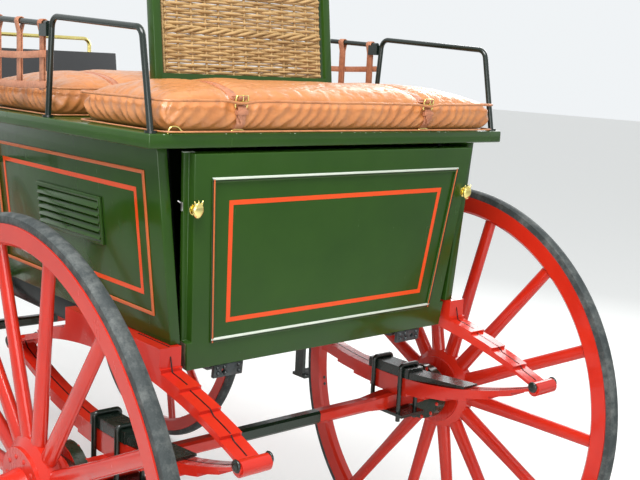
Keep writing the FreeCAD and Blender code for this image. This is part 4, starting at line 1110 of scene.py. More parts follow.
@dataclass
class Coachwork:
    """The box body's painted boards, from the CAD nodes with their edges eased."""

    board_ease: float = 0.0022
    seat_ease: float = 0.0035

    def build(self) -> None:
        """Dresses every board."""
        for node in ("body_side_right", "body_side_left", "heel_board", "footwell_cheeks"):
            self.board(node, self.board_ease, Finish.green, "green_coachwork")
        self.board("seat_board", self.seat_ease, Finish.green, "green_coachwork")
        for node in ("bottom_sills", "corner_posts"):
            self.board(node, 0.0015, Finish.black, "black_coachwork")
        for node in ("body_floor", "footwell_floor", "toe_board"):
            self.board(node, 0.0012, Finish.boards, "bare_boards")
        for side in Side:
            self.side_mouldings(side)
            self.louvres(side)
        self.floor_mat()
        self.heel_lines()
        self.cranked_staple()
        self.worn_spots()

    def board(self, node: str, ease: float, material: bpy.types.Material, slot: str) -> None:
        """Puts an eased copy in place of one CAD board."""
        finished(softened_node(node, ease), Body.CARRIAGE, slot, material)

    def side_plane(self, side: Side) -> Callable[[float, float, float], Vector]:
        """Returns a function that gives places on a body side's outer face."""
        low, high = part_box("body_side_" + side.word)
        seat_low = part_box("seat_board")[0]
        node = frame["nodes"]["body_side_" + side.word]
        reach_top = max(abs(v.co.x) for v in node.data.vertices)
        reach_low = max(abs(v.co.x) for v in node.data.vertices if v.co.z < low.z + 0.001)
        slope = (reach_top - reach_low) / (seat_low.z - low.z)

        def place(y: float, z: float, out: float = 0.0) -> Vector:
            return Vector((side.value * (reach_low + (z - low.z) * slope + out), y, z))

        return place

    def side_field(self, side: Side, inset: float, lift: float = 0.0) -> list[Vector]:
        """Returns the corners of a field on a body side, inset from its edges."""
        place = self.side_plane(side)
        low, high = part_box("body_side_" + side.word)
        rear, front = low.y + inset, high.y - inset
        bottom, top = low.z + inset, high.z - inset
        corners = [place(rear, bottom, lift), place(front, bottom, lift), place(front, top, lift),
                   place(rear, top, lift)]
        return corners if side is Side.RIGHT else corners[::-1]

    def side_mouldings(self, side: Side) -> None:
        """Adds the bead and the painted lines of one body side."""
        bead = flat_frame("side_bead_" + side.word, self.side_field(side, 0.050), 0.008, 0.0035, 0.0028, 4)
        finished(bead, Body.CARRIAGE, "green_coachwork", Finish.fine_line)
        broad = flat_frame("side_broad_line_" + side.word, self.side_field(side, 0.088), 0.010, 0.0004)
        finished(broad, Body.CARRIAGE, "red_enamel", Finish.broad_line)

    def louvres(self, side: Side) -> None:
        """Adds the ventilation louvres, three slanted slats in a small frame, over a black sheet that paints the shade
        inside the openings.
        """
        place = self.side_plane(side)
        low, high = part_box("body_side_" + side.word)
        middle_y = (low.y + high.y) / 2 - 0.02
        middle_z = (low.z + high.z) / 2 + 0.02
        half_y, half_z, slat_count = 0.150, 0.052, 5
        outline = [place(middle_y - half_y, middle_z - half_z), place(middle_y + half_y, middle_z - half_z),
                   place(middle_y + half_y, middle_z + half_z), place(middle_y - half_y, middle_z + half_z)]
        corners = outline if side is Side.RIGHT else outline[::-1]
        pieces = [flat_frame("frame", corners, 0.010, 0.007, 0.002)]
        pitch = 2 * (half_z - 0.010) / slat_count
        for index in range(slat_count):
            z = middle_z - half_z + 0.010 + (index + 0.5) * pitch
            slat = block("slat", (-0.0012, -half_y + 0.008, -pitch * 0.58), (0.0012, half_y - 0.008, pitch * 0.58),
                         0.0008)
            tilt = Matrix.Rotation(side.value * math.radians(-32), 4, "Y")
            pieces.append(moved(slat, Matrix.Translation(place(middle_y, z, 0.004)) @ tilt))
        finished(joined(pieces, "side_louvre_" + side.word), Body.CARRIAGE, "green_coachwork", Finish.green)
        # Black sheet behind the slats: painted shade where the vents open into the body.
        vent_shade_sheet = panel_block("louvre_backing_" + side.word, corners, 0.0008, 0.0)
        finished(vent_shade_sheet, Body.CARRIAGE, "black_coachwork", Finish.black)

    def floor_mat(self) -> None:
        """Lays a ribbed mat in the driver's footwell."""
        low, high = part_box("footwell_floor")
        margin, rib_pitch, rib_height = 0.03, 0.012, 0.0022
        pieces = [block("mat", (low.x + margin, low.y + margin, high.z + 0.0003),
                        (high.x - margin, high.y - 0.005, high.z + 0.003), 0.0008)]
        count = int((high.y - low.y - 2 * margin) / rib_pitch)
        for index in range(count):
            y = low.y + margin + (index + 0.5) * rib_pitch
            pieces.append(block("rib", (low.x + margin + 0.004, y - 0.0025, high.z + 0.003),
                                (high.x - margin - 0.004, y + 0.0025, high.z + 0.003 + rib_height)))
        finished(joined(pieces, "footwell_mat"), Body.CARRIAGE, "black_leather", Finish.dark_cloth)

    def heel_lines(self) -> None:
        """Draws a broad line on the heel board under the front seat."""
        low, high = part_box("heel_board")
        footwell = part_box("footwell_floor")[1].z
        inset = 0.06
        y = high.y
        x_low, x_high = 0.33, 0.36
        corners = [Vector((x_low, y, footwell + inset)), Vector((-x_low, y, footwell + inset)),
                   Vector((-x_high, y, high.z - inset)), Vector((x_high, y, high.z - inset))]
        finished(flat_frame("heel_board_line", corners, 0.010, 0.0004), Body.CARRIAGE, "red_enamel",
                 Finish.broad_line)

    def cranked_staple(self) -> None:
        """Adds the cranked brass staple at the seat board's left rear corner."""
        low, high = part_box("seat_board")
        y = low.y + 0.006
        path = [Vector((low.x + 0.044, y, high.z - 0.002)), Vector((low.x + 0.046, y, high.z + 0.013)),
                Vector((low.x + 0.066, y, high.z + 0.014)), Vector((low.x + 0.074, y, high.z + 0.004)),
                Vector((low.x + 0.084, y, high.z + 0.001))]
        finished(tube("seat_staple", path, 0.0017, sides=2, smooth=5), Body.CARRIAGE, "brass_fittings",
                 Finish.brass)

    def worn_spots(self) -> None:
        """Knocks small pale chips into the seat board's rear edge."""
        low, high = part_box("seat_board")
        draw = random.Random(23)
        chips = []
        for _ in range(26):
            x = draw.uniform(low.x + 0.01, high.x - 0.01)
            size = draw.uniform(0.0006, 0.0017)
            bpy.ops.mesh.primitive_ico_sphere_add(subdivisions=1, radius=1.0)
            chip = named("chip")
            chip.scale = (size * draw.uniform(0.8, 2.2), size * 0.5, size * 0.5)
            chip.location = (x, low.y + 0.0010, high.z - draw.uniform(0.0006, 0.0016))
            chips.append(applied(chip))
        finished(joined(chips, "seat_board_chips"), Body.CARRIAGE, "green_coachwork", Finish.pale_wear)


# ------------------------------------------------------------------ tailboard


@dataclass
class Tailboard:
    """The hinged tailboard with its bead, lines, hinges, knobs, bared end grain and a painted highlight on one flange's
    top edge.

    Its pieces are made for the closed board and then turned to where it stands ajar.
    """

    bead_width: float = 0.010
    bead_height: float = 0.0042
    bead_low: float = 0.0535
    bead_high: float = 0.4010
    bead_half_low: float = 0.323
    bead_half_high: float = 0.3555
    broad_width: float = 0.0100
    broad_low: float = 0.0940
    broad_high: float = 0.3535
    broad_half_low: float = 0.286
    broad_half_high: float = 0.307
    turn: Matrix = field(init=False)
    bottom: float = field(init=False)
    top: float = field(init=False)
    rear: float = field(init=False)
    front: float = field(init=False)

    def __post_init__(self) -> None:
        """Works out the closed board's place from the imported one."""
        pivot = joint_place("tailboard_hinge")
        ajar = Matrix.Rotation(-joint_low_limit("tailboard_hinge"), 4, "X")
        self.turn = Matrix.Translation(pivot) @ ajar @ Matrix.Translation(-pivot)
        back = self.turn.inverted()
        closed = [back @ vertex.co for vertex in frame["nodes"]["tailboard_panel"].data.vertices]
        self.bottom = min(place.z for place in closed)
        self.top = max(place.z for place in closed)
        self.rear = min(place.y for place in closed)
        self.front = max(place.y for place in closed)
        self.half_low = max(place.x for place in closed if place.z < self.bottom + 0.001)
        self.half_high = max(place.x for place in closed if place.z > self.top - 0.001)

    def build(self) -> None:
        """Dresses the board."""
        board = softened_node("tailboard_panel", 0.0018, 3)
        finished(board, Body.TAILBOARD, "green_coachwork", Finish.green)
        self.bead()
        self.broad_line()
        self.end_grain()
        self.top_strips()
        for side in Side:
            self.knob(side)
            self.hinge(side)
            self.catch(side)

    def half_at(self, z: float) -> float:
        """Returns half of the board's width at a height."""
        share = (z - self.bottom) / (self.top - self.bottom)
        return self.half_low + (self.half_high - self.half_low) * share

    def field(self, low: float, high: float, half_low: float, half_high: float) -> list[Vector]:
        """Returns the corners of a field on the outer face, by heights over the board's foot."""
        low_z, high_z = self.bottom + low, self.bottom + high
        return [Vector((-half_low, self.rear, low_z)), Vector((half_low, self.rear, low_z)),
                Vector((half_high, self.rear, high_z)), Vector((-half_high, self.rear, high_z))]

    def bead(self) -> None:
        """Adds the half-round bead with three strips on it: a pale painted highlight on its upper flank, a dark painted
        shade below that, and an orange fine line.
        """
        corners = self.field(self.bead_low, self.bead_high, self.bead_half_low, self.bead_half_high)
        bead = flat_frame("tailboard_bead", corners, self.bead_width, self.bead_height, self.bead_height * 0.92, 5)
        finished(moved(bead, self.turn), Body.TAILBOARD, "green_coachwork", Finish.green)
        # Pale strip: a painted highlight on the bead's upper flank.
        self.level_lines("pale", 0.0060, 0.0044, 0.0044, Finish.pale_line, "green_coachwork")
        # Dark strip: painted shade between the highlight and the orange line.
        self.level_lines("dark", 0.0030, 0.0018, 0.0044, Finish.dark_line, "black_coachwork")
        self.level_lines("orange", 0.0008, 0.0024, 0.0040, Finish.fine_line, "red_enamel")
        for side in Side:
            self.upright_lines(side)

    def level_lines(self, word: str, up: float, width: float, height: float, material: bpy.types.Material,
                    slot: str) -> None:
        """Runs one strip along the bead's top and bottom members; it draws the orange fine line, and also the bead's
        pale painted highlight and its dark painted shade.

        Args:
            word: what the line is called.
            up: the line's lower edge over the member's lower edge.
            width: the line's width.
            height: how far it stands out of the board.
            material: its finish.
            slot: its material slot.
        """
        pieces = []
        for base in (self.bead_low, self.bead_high - self.bead_width):
            share = (base - self.bead_low) / (self.bead_high - self.bead_low)
            half = self.bead_half_low + (self.bead_half_high - self.bead_half_low) * share - 0.0012
            low = base + up
            corners = self.field(low, low + width, half, half + 0.0004)
            pieces.append(panel_block("line", corners, height, 0.0006))
        finished(moved(joined(pieces, f"tailboard_{word}_level_lines"), self.turn), Body.TAILBOARD, slot, material)

    def upright_lines(self, side: Side) -> None:
        """Runs a tan line up one side member of the bead, with a dark painted shadow beside it."""
        lean = self.bead_half_high - self.bead_half_low
        # The dark strip is painted shadow on the bead's outer flank; the tan strip is a fine line.
        for word, inset, width, material, slot in (
                ("dark", 0.0010, 0.0022, Finish.dark_line, "black_coachwork"),
                ("tan", 0.0036, 0.0038, Finish.fine_line, "red_enamel")):
            low_z, high_z = self.bottom + self.bead_low + 0.001, self.bottom + self.bead_high - 0.001
            outer_low, outer_high = self.bead_half_low - inset, self.bead_half_low + lean - inset
            corners = [Vector((side.value * (outer_low - width), self.rear, low_z)),
                       Vector((side.value * outer_low, self.rear, low_z)),
                       Vector((side.value * outer_high, self.rear, high_z)),
                       Vector((side.value * (outer_high - width), self.rear, high_z))]
            line = panel_block("line", corners if side is Side.RIGHT else corners[::-1], 0.0044, 0.0006)
            line.name = f"tailboard_{word}_upright_{side.word}"
            finished(moved(line, self.turn), Body.TAILBOARD, slot, material)

    def broad_line(self) -> None:
        """Adds the broad orange line inside the bead."""
        corners = self.field(self.broad_low, self.broad_high, self.broad_half_low, self.broad_half_high)
        line = flat_frame("tailboard_broad_line", corners, self.broad_width, 0.0004)
        finished(moved(line, self.turn), Body.TAILBOARD, "red_enamel", Finish.broad_line)

    def end_grain(self) -> None:
        """Bares the end grain of the bottom rail at its left end."""
        rail = 0.058
        x = -self.half_at(self.bottom + rail / 2) - 0.0004
        patch = block("bottom_rail_end", (x - 0.0010, self.rear + 0.004, self.bottom + 0.004),
                      (x + 0.0040, self.front - 0.003, self.bottom + rail), 0.0010)
        for vertex in patch.data.vertices:
            vertex.co.x -= (self.half_high - self.half_low) * (vertex.co.z - self.bottom - rail / 2) / \
                (self.top - self.bottom)
        finished(moved(patch, self.turn), Body.TAILBOARD, "bare_boards", Finish.end_grain)

    def top_strips(self) -> None:
        """Adds a pale strip on the left flange's top edge, a painted highlight."""
        x = self.half_high
        # A pale strip on the flange's top edge: a painted highlight where the edge catches the light.
        strip = block("flange_top_strip", (-x + 0.0005, self.rear + 0.021, self.top - 0.0008),
                      (-x + 0.026, self.front - 0.001, self.top + 0.0006), 0.0003)
        finished(moved(strip, self.turn), Body.TAILBOARD, "green_coachwork", Finish.pale_wear)

    def knob(self, side: Side) -> None:
        """Makes one shield-shaped brass turn knob with a three-pointed head on its plate."""
        low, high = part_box("tailboard_knobs")
        x = side.value * (high.x - 0.011)
        z = self.bottom + 0.340
        face = self.rear
        bpy.ops.mesh.primitive_uv_sphere_add(segments=32, ring_count=16, radius=1.0)
        bulb = named("bulb")
        for vertex in bulb.data.vertices:
            across, out, up = vertex.co
            pinch = 1.0 - 0.16 * max(0.0, -up) - 0.06 * max(0.0, up)
            vertex.co = Vector((across * 0.0130 * pinch, out * 0.0062, up * 0.0160))
        bpy.ops.object.shade_smooth()
        pieces = [moved(bulb, Matrix.Translation((x, face - 0.0125, z)))]
        for lean in (-0.0085, 0.0, 0.0085):
            bpy.ops.mesh.primitive_cone_add(vertices=12, radius1=0.0032, radius2=0.0008, depth=0.0090)
            point = eased(named("point"), 0.0004)
            tilt = Matrix.Rotation(lean * 45, 4, "Y")
            pieces.append(moved(point, Matrix.Translation((x + lean, face - 0.0120, z + 0.0155)) @ tilt))
        pieces.append(bar("neck", (x, face, z), (x, face - 0.0110, z), 0.0055, 20, 0.0008))
        plate = bar("plate", (x, face + 0.0006, z), (x, face - 0.0022, z), 0.0125, 28, 0.0007)
        pieces.append(plate)
        knob = joined(pieces, "knob_" + side.word)
        finished(moved(knob, self.turn), Body.TAILBOARD, "brass_fittings", Finish.brass)
        if side is Side.RIGHT:
            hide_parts("tailboard_knobs")

    def hinge(self, side: Side) -> None:
        """Dresses one cast hinge plate with its lumpy bolt heads."""
        if side is Side.RIGHT:
            cast = softened_node("tailboard_hinges", 0.0022)
            finished(cast, Body.TAILBOARD, "dark_iron", Finish.cast)
        back = self.turn.inverted()
        closed = [back @ v.co for v in frame["nodes"]["tailboard_hinges"].data.vertices if v.co.x * side.value > 0]
        x_low = min(place.x for place in closed)
        x_high = max(place.x for place in closed)
        z_low = min(place.z for place in closed if place.y < self.rear + 0.004)
        draw = random.Random(31 + side.value)
        outward = Vector((0, -1, 0))
        spots = []
        for share_x, share_z in ((0.14, 0.72), (0.38, 0.75), (0.88, 0.76), (0.16, 0.30), (0.42, 0.27), (0.90, 0.28)):
            place = Vector((x_low + (x_high - x_low) * share_x + draw.uniform(-0.001, 0.001), self.rear,
                            z_low + (self.bottom - z_low) * share_z))
            spots.append((place, outward))
        heads = place_bolts("hinge_bolts_" + side.word, spots, 0.0052, 0.0048)
        finished(moved(heads, self.turn), Body.TAILBOARD, "dark_iron", Finish.cast)

    def catch(self, side: Side) -> None:
        """Adds the catch behind a knob, a small bright tongue on the board's edge."""
        z = self.bottom + 0.340
        x = side.value * (self.half_at(z) - 0.004)
        tongue = block("tongue", (x - 0.006, self.rear + 0.0215, z - 0.009), (x + 0.006, self.rear + 0.028, z + 0.009),
                       0.0012)
        hook = bar("hook", (x + side.value * 0.002, self.rear + 0.026, z + 0.004),
                   (x + side.value * 0.010, self.rear + 0.032, z + 0.010), 0.0016, 12, 0.0004)
        finished(moved(joined([tongue, hook], "catch_" + side.word), self.turn), Body.TAILBOARD, "dark_iron",
                 Finish.bright_iron)


# ------------------------------------------------------------------ seats


def rounded_ring(low: Vector, high: Vector, radius: float, z: float, corner_steps: int = 5,
                 pitch: float = 0.02) -> list[Vector]:
    """Returns points round a rectangle with rounded corners, anticlockwise from above.

    Args:
        low: the rectangle's low corner.
        high: the rectangle's high corner.
        radius: the corners' radius.
        z: the ring's height.
        corner_steps: how many steps turn each corner.
        pitch: the spacing of points along the straight sides.

    Returns:
        The ring's points.
    """
    centres = [(high.x - radius, low.y + radius, -90), (high.x - radius, high.y - radius, 0),
               (low.x + radius, high.y - radius, 90), (low.x + radius, low.y + radius, 180)]
    corners = []
    for x, y, start in centres:
        turn = [math.radians(start + 90 * step / corner_steps) for step in range(corner_steps + 1)]
        corners.append([Vector((x + radius * math.cos(a), y + radius * math.sin(a), z)) for a in turn])
    ring: list[Vector] = []
    for index, corner in enumerate(corners):
        ring.extend(corner)
        start, end = corner[-1], corners[(index + 1) % 4][0]
        count = max(2, round((end - start).length / pitch))
        ring.extend(start.lerp(end, step / count) for step in range(1, count))
    return ring


def smooth_step(value: float) -> float:
    """Eases a share from 0 to 1."""
    share = min(max(value, 0.0), 1.0)
    return share * share * (3 - 2 * share)


@dataclass
class Cushion:
    """A stuffed leather cushion with piped seams, held down by two buckled straps."""

    node: str
    buckle_way: int
    seed: float
    strap_places: tuple[float, float] = (-0.293, 0.233)
    voxel: float = 0.0065
    corner_radius: float = 0.030
    pipe_radius: float = 0.0028
    seam_height: float = 0.062
    foot: float = 0.0035
    strap_width: float = 0.021
    strap_thickness: float = 0.0030
    buckle_size: tuple[float, float] = (0.029, 0.024)
    low: Vector = field(init=False)
    high: Vector = field(init=False)

    def __post_init__(self) -> None:
        """Takes the cushion's room from its CAD solid, drawn in by its piping."""
        low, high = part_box(self.node)
        inset = Vector((self.pipe_radius + 0.002, self.pipe_radius + 0.002, 0))
        self.low = low + inset
        self.high = high - inset
        self.seam_low = self.low.z + self.foot
        self.seam_high = self.low.z + self.seam_height

    def build(self) -> None:
        """Makes the cushion, its piping and its straps."""
        cushion = self.stuffed()
        self.wrinkle(cushion)
        finished(cushion, Body.CARRIAGE, "tan_leather", Finish.cushion)
        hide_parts(self.node)
        for word, height in (("low", self.seam_low), ("high", self.seam_high)):
            self.piping(word, height)
        surface = Surface(cushion)
        for index, x in enumerate(self.strap_places):
            self.strap(f"{self.node}_strap_{index}", surface, x)

    def stuffed(self) -> bpy.types.Object:
        """Makes the closed pad and swells it, with its seams held."""
        pad = block(self.node + "_leather", (self.low.x, self.low.y, self.seam_low),
                    (self.high.x, self.high.y, self.seam_high))
        edit(pad)
        bpy.ops.mesh.select_all(action="DESELECT")
        leave_edit()
        for edge in pad.data.edges:
            start, end = (pad.data.vertices[i].co for i in edge.vertices)
            edge.select = abs(start.z - end.z) > 0.01
        bpy.context.view_layer.objects.active = pad
        bpy.ops.object.mode_set(mode="EDIT")
        bpy.ops.mesh.select_mode(type="EDGE")
        bpy.ops.mesh.bevel(offset=self.corner_radius, segments=6)
        bpy.ops.mesh.select_mode(type="VERT")
        leave_edit()
        with_modifier(pad, "REMESH", mode="VOXEL", voxel_size=self.voxel)
        rest = [vertex.co.copy() for vertex in pad.data.vertices]
        self.swell_by_cloth(pad, rest)
        with_modifier(pad, "SUBSURF", levels=1, render_levels=1)
        pick(pad)
        bpy.ops.object.shade_smooth()
        return pad

    def crown(self, place: Vector) -> float:
        """Returns how far the stuffing may lift the top at a place."""
        across = (2 * place.x - self.low.x - self.high.x) / (self.high.x - self.low.x)
        along = (2 * place.y - self.low.y - self.high.y) / (self.high.y - self.low.y)
        dome = (1 - abs(across) ** 6) * (1 - abs(along) ** 2.6)
        return (self.high.z - self.seam_high - 0.004) * max(dome, 0.0) ** 0.8

    def swell_by_cloth(self, pad: bpy.types.Object, rest: Sequence[Vector]) -> None:
        """Blows the pad up as cloth with its seams pinned, then limits how far each point moved."""
        group = pad.vertex_groups.new(name="seams")
        held = [index for index, place in enumerate(rest) if self.on_seam(place)]
        group.add(held, 1.0, "REPLACE")
        cloth = pad.modifiers.new("cloth", "CLOTH")
        settings = cloth.settings
        settings.vertex_group_mass = group.name
        settings.use_pressure = True
        settings.uniform_pressure_force = 4.0
        settings.effector_weights.gravity = 0.0
        settings.tension_stiffness = 12.0
        settings.compression_stiffness = 12.0
        settings.quality = 5
        cloth.point_cache.frame_start = 1
        cloth.point_cache.frame_end = 20
        scene = bpy.context.scene
        for number in range(1, 21):
            scene.frame_set(number)
        pick(pad)
        bpy.ops.object.modifier_apply(modifier=cloth.name)
        scene.frame_set(1)
        pad.vertex_groups.clear()
        for vertex, place in zip(pad.data.vertices, rest):
            move = vertex.co - place
            side = Vector((move.x, move.y, 0))
            if side.length > 0.0045:
                side *= 0.0045 / side.length
            rise = min(max(move.z, -0.0005), self.crown(place) + 0.002) if place.z > self.seam_high - 0.004 \
                else min(max(move.z, -0.002), 0.002)
            if place.z > self.seam_high - 0.004:
                rise = 0.35 * rise + 0.65 * self.crown(place)
            vertex.co = place + side + Vector((0, 0, rise))

    def on_seam(self, place: Vector) -> bool:
        """Tells whether a place lies on one of the two seams."""
        reach = self.voxel * 0.8
        level = min(abs(place.z - self.seam_low), abs(place.z - self.seam_high)) < reach
        inner_low = self.low + Vector((1, 1, 0)) * reach
        inner_high = self.high - Vector((1, 1, 0)) * reach
        edge = not (inner_low.x < place.x < inner_high.x and inner_low.y < place.y < inner_high.y)
        return level and edge

    def press(self, x: float) -> float:
        """Returns how deeply the straps press in at a place across the cushion."""
        depth = 0.0
        for centre in self.strap_places:
            depth += math.exp(-((x - centre) / 0.020) ** 2)
        return depth

    def seam_wave(self, x: float, y: float) -> float:
        """Returns how far the top seam wanders up or down."""
        wander = noise.noise(Vector((x * 9, y * 9, self.seed))) * 0.0030
        return wander - 0.0055 * self.press(x)

    def wrinkle(self, pad: bpy.types.Object) -> None:
        """Works folds and creases into the leather, and presses the straps' places in."""
        height = self.seam_high - self.seam_low
        normals = [vertex.normal.copy() for vertex in pad.data.vertices]
        for vertex, normal in zip(pad.data.vertices, normals):
            place = vertex.co.copy()
            share = (place.z - self.seam_low) / height
            if share > 0.02:
                vertex.co.z += self.seam_wave(place.x, place.y) * smooth_step(share * 1.2)
            if abs(normal.z) < 0.8 and 0.0 < share < 1.06:
                along = place.x if abs(normal.y) > abs(normal.x) else place.y
                vertex.co += normal * self.boxing_fold(along, place, share)
            elif normal.z > 0.5:
                vertex.co.z += self.top_crease(place)
            vertex.co.z = max(vertex.co.z, self.low.z + 0.0004)

    def boxing_fold(self, along: float, place: Vector, share: float) -> float:
        """Returns the height of the slanted folds pulled up by the seams of the boxing."""
        wander = noise.noise(Vector((along * 11, place.z * 9, self.seed + 5)))
        swerve = noise.noise(Vector((along * 31, place.z * 26, self.seed + 7)))
        phase = (along - 0.85 * place.z) / 0.0300 + 0.75 * wander + 0.22 * swerve
        ridge = 1 - abs(2 * (phase - math.floor(phase)) - 1)
        strength = 0.62 + 0.75 * noise.noise(Vector((along * 9.0, self.seed, 3.0)))
        edge = smooth_step(share / 0.20) * smooth_step((1.06 - share) / 0.14)
        fine = noise.noise(Vector((along * 60, place.z * 42 + along * 20, self.seed + 9)))
        return (0.0062 * (ridge ** 1.4 - 0.45) * max(strength, 0.15) + 0.0009 * fine) * edge

    def top_crease(self, place: Vector) -> float:
        """Returns the height of the top's soft dents and fine creases."""
        inner = min(place.x - self.low.x, self.high.x - place.x, place.y - self.low.y, self.high.y - place.y)
        calm = smooth_step(inner / 0.02)
        dents = noise.noise(Vector((place.x * 8, place.y * 11, self.seed))) * 0.0032
        warp = noise.noise(Vector((place.x * 22, place.y * 22, self.seed + 2))) * 0.6
        lines = noise.noise(Vector((place.x * 26 + warp, place.y * 60 + warp, self.seed + 4)))
        ridge = (1 - min(abs(lines) * 5, 1.0)) ** 2 * -0.0022
        near = math.exp(-inner / 0.030)
        pulled = math.sin((place.x if min(place.y - self.low.y, self.high.y - place.y) < 0.05 else place.y) * 175
                          + 4 * warp) * 0.0016 * near
        return calm * (dents + ridge + pulled) - 0.003 * self.press(place.x)

    def piping(self, word: str, height: float) -> None:
        """Lays a leather-covered cord along one seam."""
        outer_low = Vector((self.low.x - 0.0012, self.low.y - 0.0012, 0))
        outer_high = Vector((self.high.x + 0.0012, self.high.y + 0.0012, 0))
        ring = rounded_ring(outer_low, outer_high, self.corner_radius, height)
        if word == "high":
            ring = [place + Vector((0, 0, self.seam_wave(place.x, place.y))) for place in ring]
        radius = self.pipe_radius if word == "high" else self.pipe_radius * 0.65
        pipe = tube(f"{self.node}_piping_{word}", ring, radius, closed=True, sides=2, smooth=3)
        finished(pipe, Body.CARRIAGE, "tan_leather", Finish.piping)

    def strap_line(self, surface: Surface, x: float) -> list[Vector]:
        """Returns the strap's way over the cushion, from the far foot to the near one."""
        way = self.buckle_way
        far = self.high.y if way < 0 else self.low.y
        near = self.low.y if way < 0 else self.high.y
        lift = 0.0022
        points = []
        for share in (0.15, 0.55, 0.9):
            z = self.seam_low + (self.seam_high - self.seam_low) * share
            start = Vector((x, far - way * 0.05, z))
            found = surface.hit(start, Vector((0, way, 0)), Vector((x, far, z)))
            points.append(found - Vector((0, way * lift, 0)))
        count = 16
        for index in range(count + 1):
            y = far + (near - far) * (0.012 + (index / count) * 0.976)
            z = surface.top(x, y, self.high.z + 0.05, self.seam_high)
            hump = 0.0030 if index == count else 0.0
            points.append(Vector((x, y + way * hump, z + lift + hump)))
        for share in (0.92, 0.75, 0.5, 0.25, 0.05):
            z = self.seam_low + (self.seam_high - self.seam_low) * share
            start = Vector((x, near + way * 0.05, z))
            found = surface.hit(start, Vector((0, -way, 0)), Vector((x, near, z)))
            hump = 0.0040 * smooth_step((share - 0.4) / 0.4)
            points.append(found + Vector((0, way * (lift + hump), 0)))
        return points

    def strap(self, name: str, surface: Surface, x: float) -> None:
        """Makes one strap with its keeper, its buckle and the staple that it is made fast to."""
        way = self.buckle_way
        line = self.strap_line(surface, x)
        over = smooth_path(line[:-3], 4)
        pieces = [ribbon("over", over, Vector((1, 0, 0)), self.strap_width, self.strap_thickness, 0.0008)]
        tail_start = line[-7]
        tail = [tail_start + Vector((0, way * 0.0010, 0.0046)), line[-6] + Vector((0, way * 0.0044, 0.0044)),
                line[-5] + Vector((0, way * 0.0060, 0.001)), line[-4] + Vector((0, way * 0.0056, 0)),
                line[-3] + Vector((0, way * 0.0050, 0)), line[-2] + Vector((0, way * 0.0046, 0))]
        pieces.append(self.pointed(ribbon("tail", smooth_path(tail, 4), Vector((1, 0, 0)),
                                          self.strap_width * 0.94, self.strap_thickness, 0.0008), x))
        board_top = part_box("seat_board")[1].z
        chape = [line[-4] + Vector((0, 0, 0.004)), line[-3], line[-2],
                 Vector((x, line[-1].y, board_top + 0.006)), Vector((x, line[-1].y + way * 0.004, board_top + 0.002))]
        pieces.append(ribbon("chape", smooth_path(chape, 4), Vector((1, 0, 0)), self.strap_width,
                             self.strap_thickness, 0.0008))
        keeper_place = line[-3].lerp(line[-4], 0.5)
        pieces.append(self.keeper(keeper_place, x))
        strap = joined(pieces, name)
        finished(strap, Body.CARRIAGE, "strap_leather", Finish.strap)
        self.buckle(name + "_buckle", line[-5].lerp(line[-6], 0.35), x)
        self.staple(name + "_staple", line[-1].y, x)
        self.stitches(name + "_stitches", line, x)

    def pointed(self, strap: bpy.types.Object, x: float) -> bpy.types.Object:
        """Draws the tail's end in to a blunt point."""
        lowest = min(vertex.co.z for vertex in strap.data.vertices)
        for vertex in strap.data.vertices:
            share = smooth_step((vertex.co.z - lowest) / 0.016)
            vertex.co.x = x + (vertex.co.x - x) * (0.30 + 0.70 * share)
        return strap

    def keeper(self, place: Vector, x: float) -> bpy.types.Object:
        """Makes the leather loop that holds the strap's tail down."""
        way = self.buckle_way
        half = self.strap_width / 2 + 0.0016
        depth = 0.0052
        corners = [Vector((x - half, place.y - way * 0.001, place.z)),
                   Vector((x - half, place.y + way * (depth + 0.003), place.z)),
                   Vector((x + half, place.y + way * (depth + 0.003), place.z)),
                   Vector((x + half, place.y - way * 0.001, place.z))]
        path = []
        for start, end in zip(corners, corners[1:]):
            path.extend(start.lerp(end, step / 4) for step in range(4))
        path.append(corners[-1])
        return ribbon("keeper", path, Vector((0, 0, 1)), 0.0085, 0.0022, 0.0006)

    def buckle(self, name: str, place: Vector, x: float) -> None:
        """Makes the square brass buckle with its tongue."""
        way = self.buckle_way
        half_w, half_h = self.buckle_size[0] / 2, self.buckle_size[1] / 2
        corner = 0.004
        lean = Matrix.Rotation(math.radians(-way * 12), 4, "X")
        ring = []
        for cx, cz, start in ((half_w - corner, half_h - corner, 0), (-half_w + corner, half_h - corner, 90),
                              (-half_w + corner, -half_h + corner, 180), (half_w - corner, -half_h + corner, 270)):
            for step in range(4):
                turn = math.radians(start + 30 * step)
                ring.append(Vector((cx + corner * math.cos(turn), 0, cz + corner * math.sin(turn))))
        frame_piece = tube("frame", ring, 0.0019, closed=True, sides=3, smooth=2)
        bridge = bar("bridge", (-half_w + 0.001, 0, 0.0), (half_w - 0.001, 0, 0.0), 0.0016, 12)
        tongue = tube("tongue", [Vector((0, 0, -0.001)), Vector((0, way * 0.0035, 0.002)),
                                 Vector((0, way * 0.0040, 0.008)), Vector((0, way * 0.0018, half_h + 0.002))],
                      0.0014, sides=2, smooth=4)
        set_place = Matrix.Translation(Vector((x, place.y + way * 0.0072, place.z))) @ lean
        pieces = [moved(piece, set_place) for piece in (frame_piece, bridge, tongue)]
        finished(joined(pieces, name), Body.CARRIAGE, "brass_fittings", Finish.brass)

    def staple(self, name: str, y: float, x: float) -> None:
        """Makes the brass footman loop on the seat board that the strap is made fast to."""
        way = self.buckle_way
        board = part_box("seat_board")[1].z
        reach = self.strap_width / 2 + 0.004
        ahead = y + way * 0.004
        path = [Vector((x - reach - 0.006, ahead, board + 0.001)), Vector((x - reach, ahead, board + 0.0014)),
                Vector((x - reach + 0.001, ahead, board + 0.0065)), Vector((x + reach - 0.001, ahead, board + 0.0065)),
                Vector((x + reach, ahead, board + 0.0014)), Vector((x + reach + 0.006, ahead, board + 0.001))]
        finished(tube(name, path, 0.0016, sides=2, smooth=4), Body.CARRIAGE, "brass_fittings", Finish.brass)

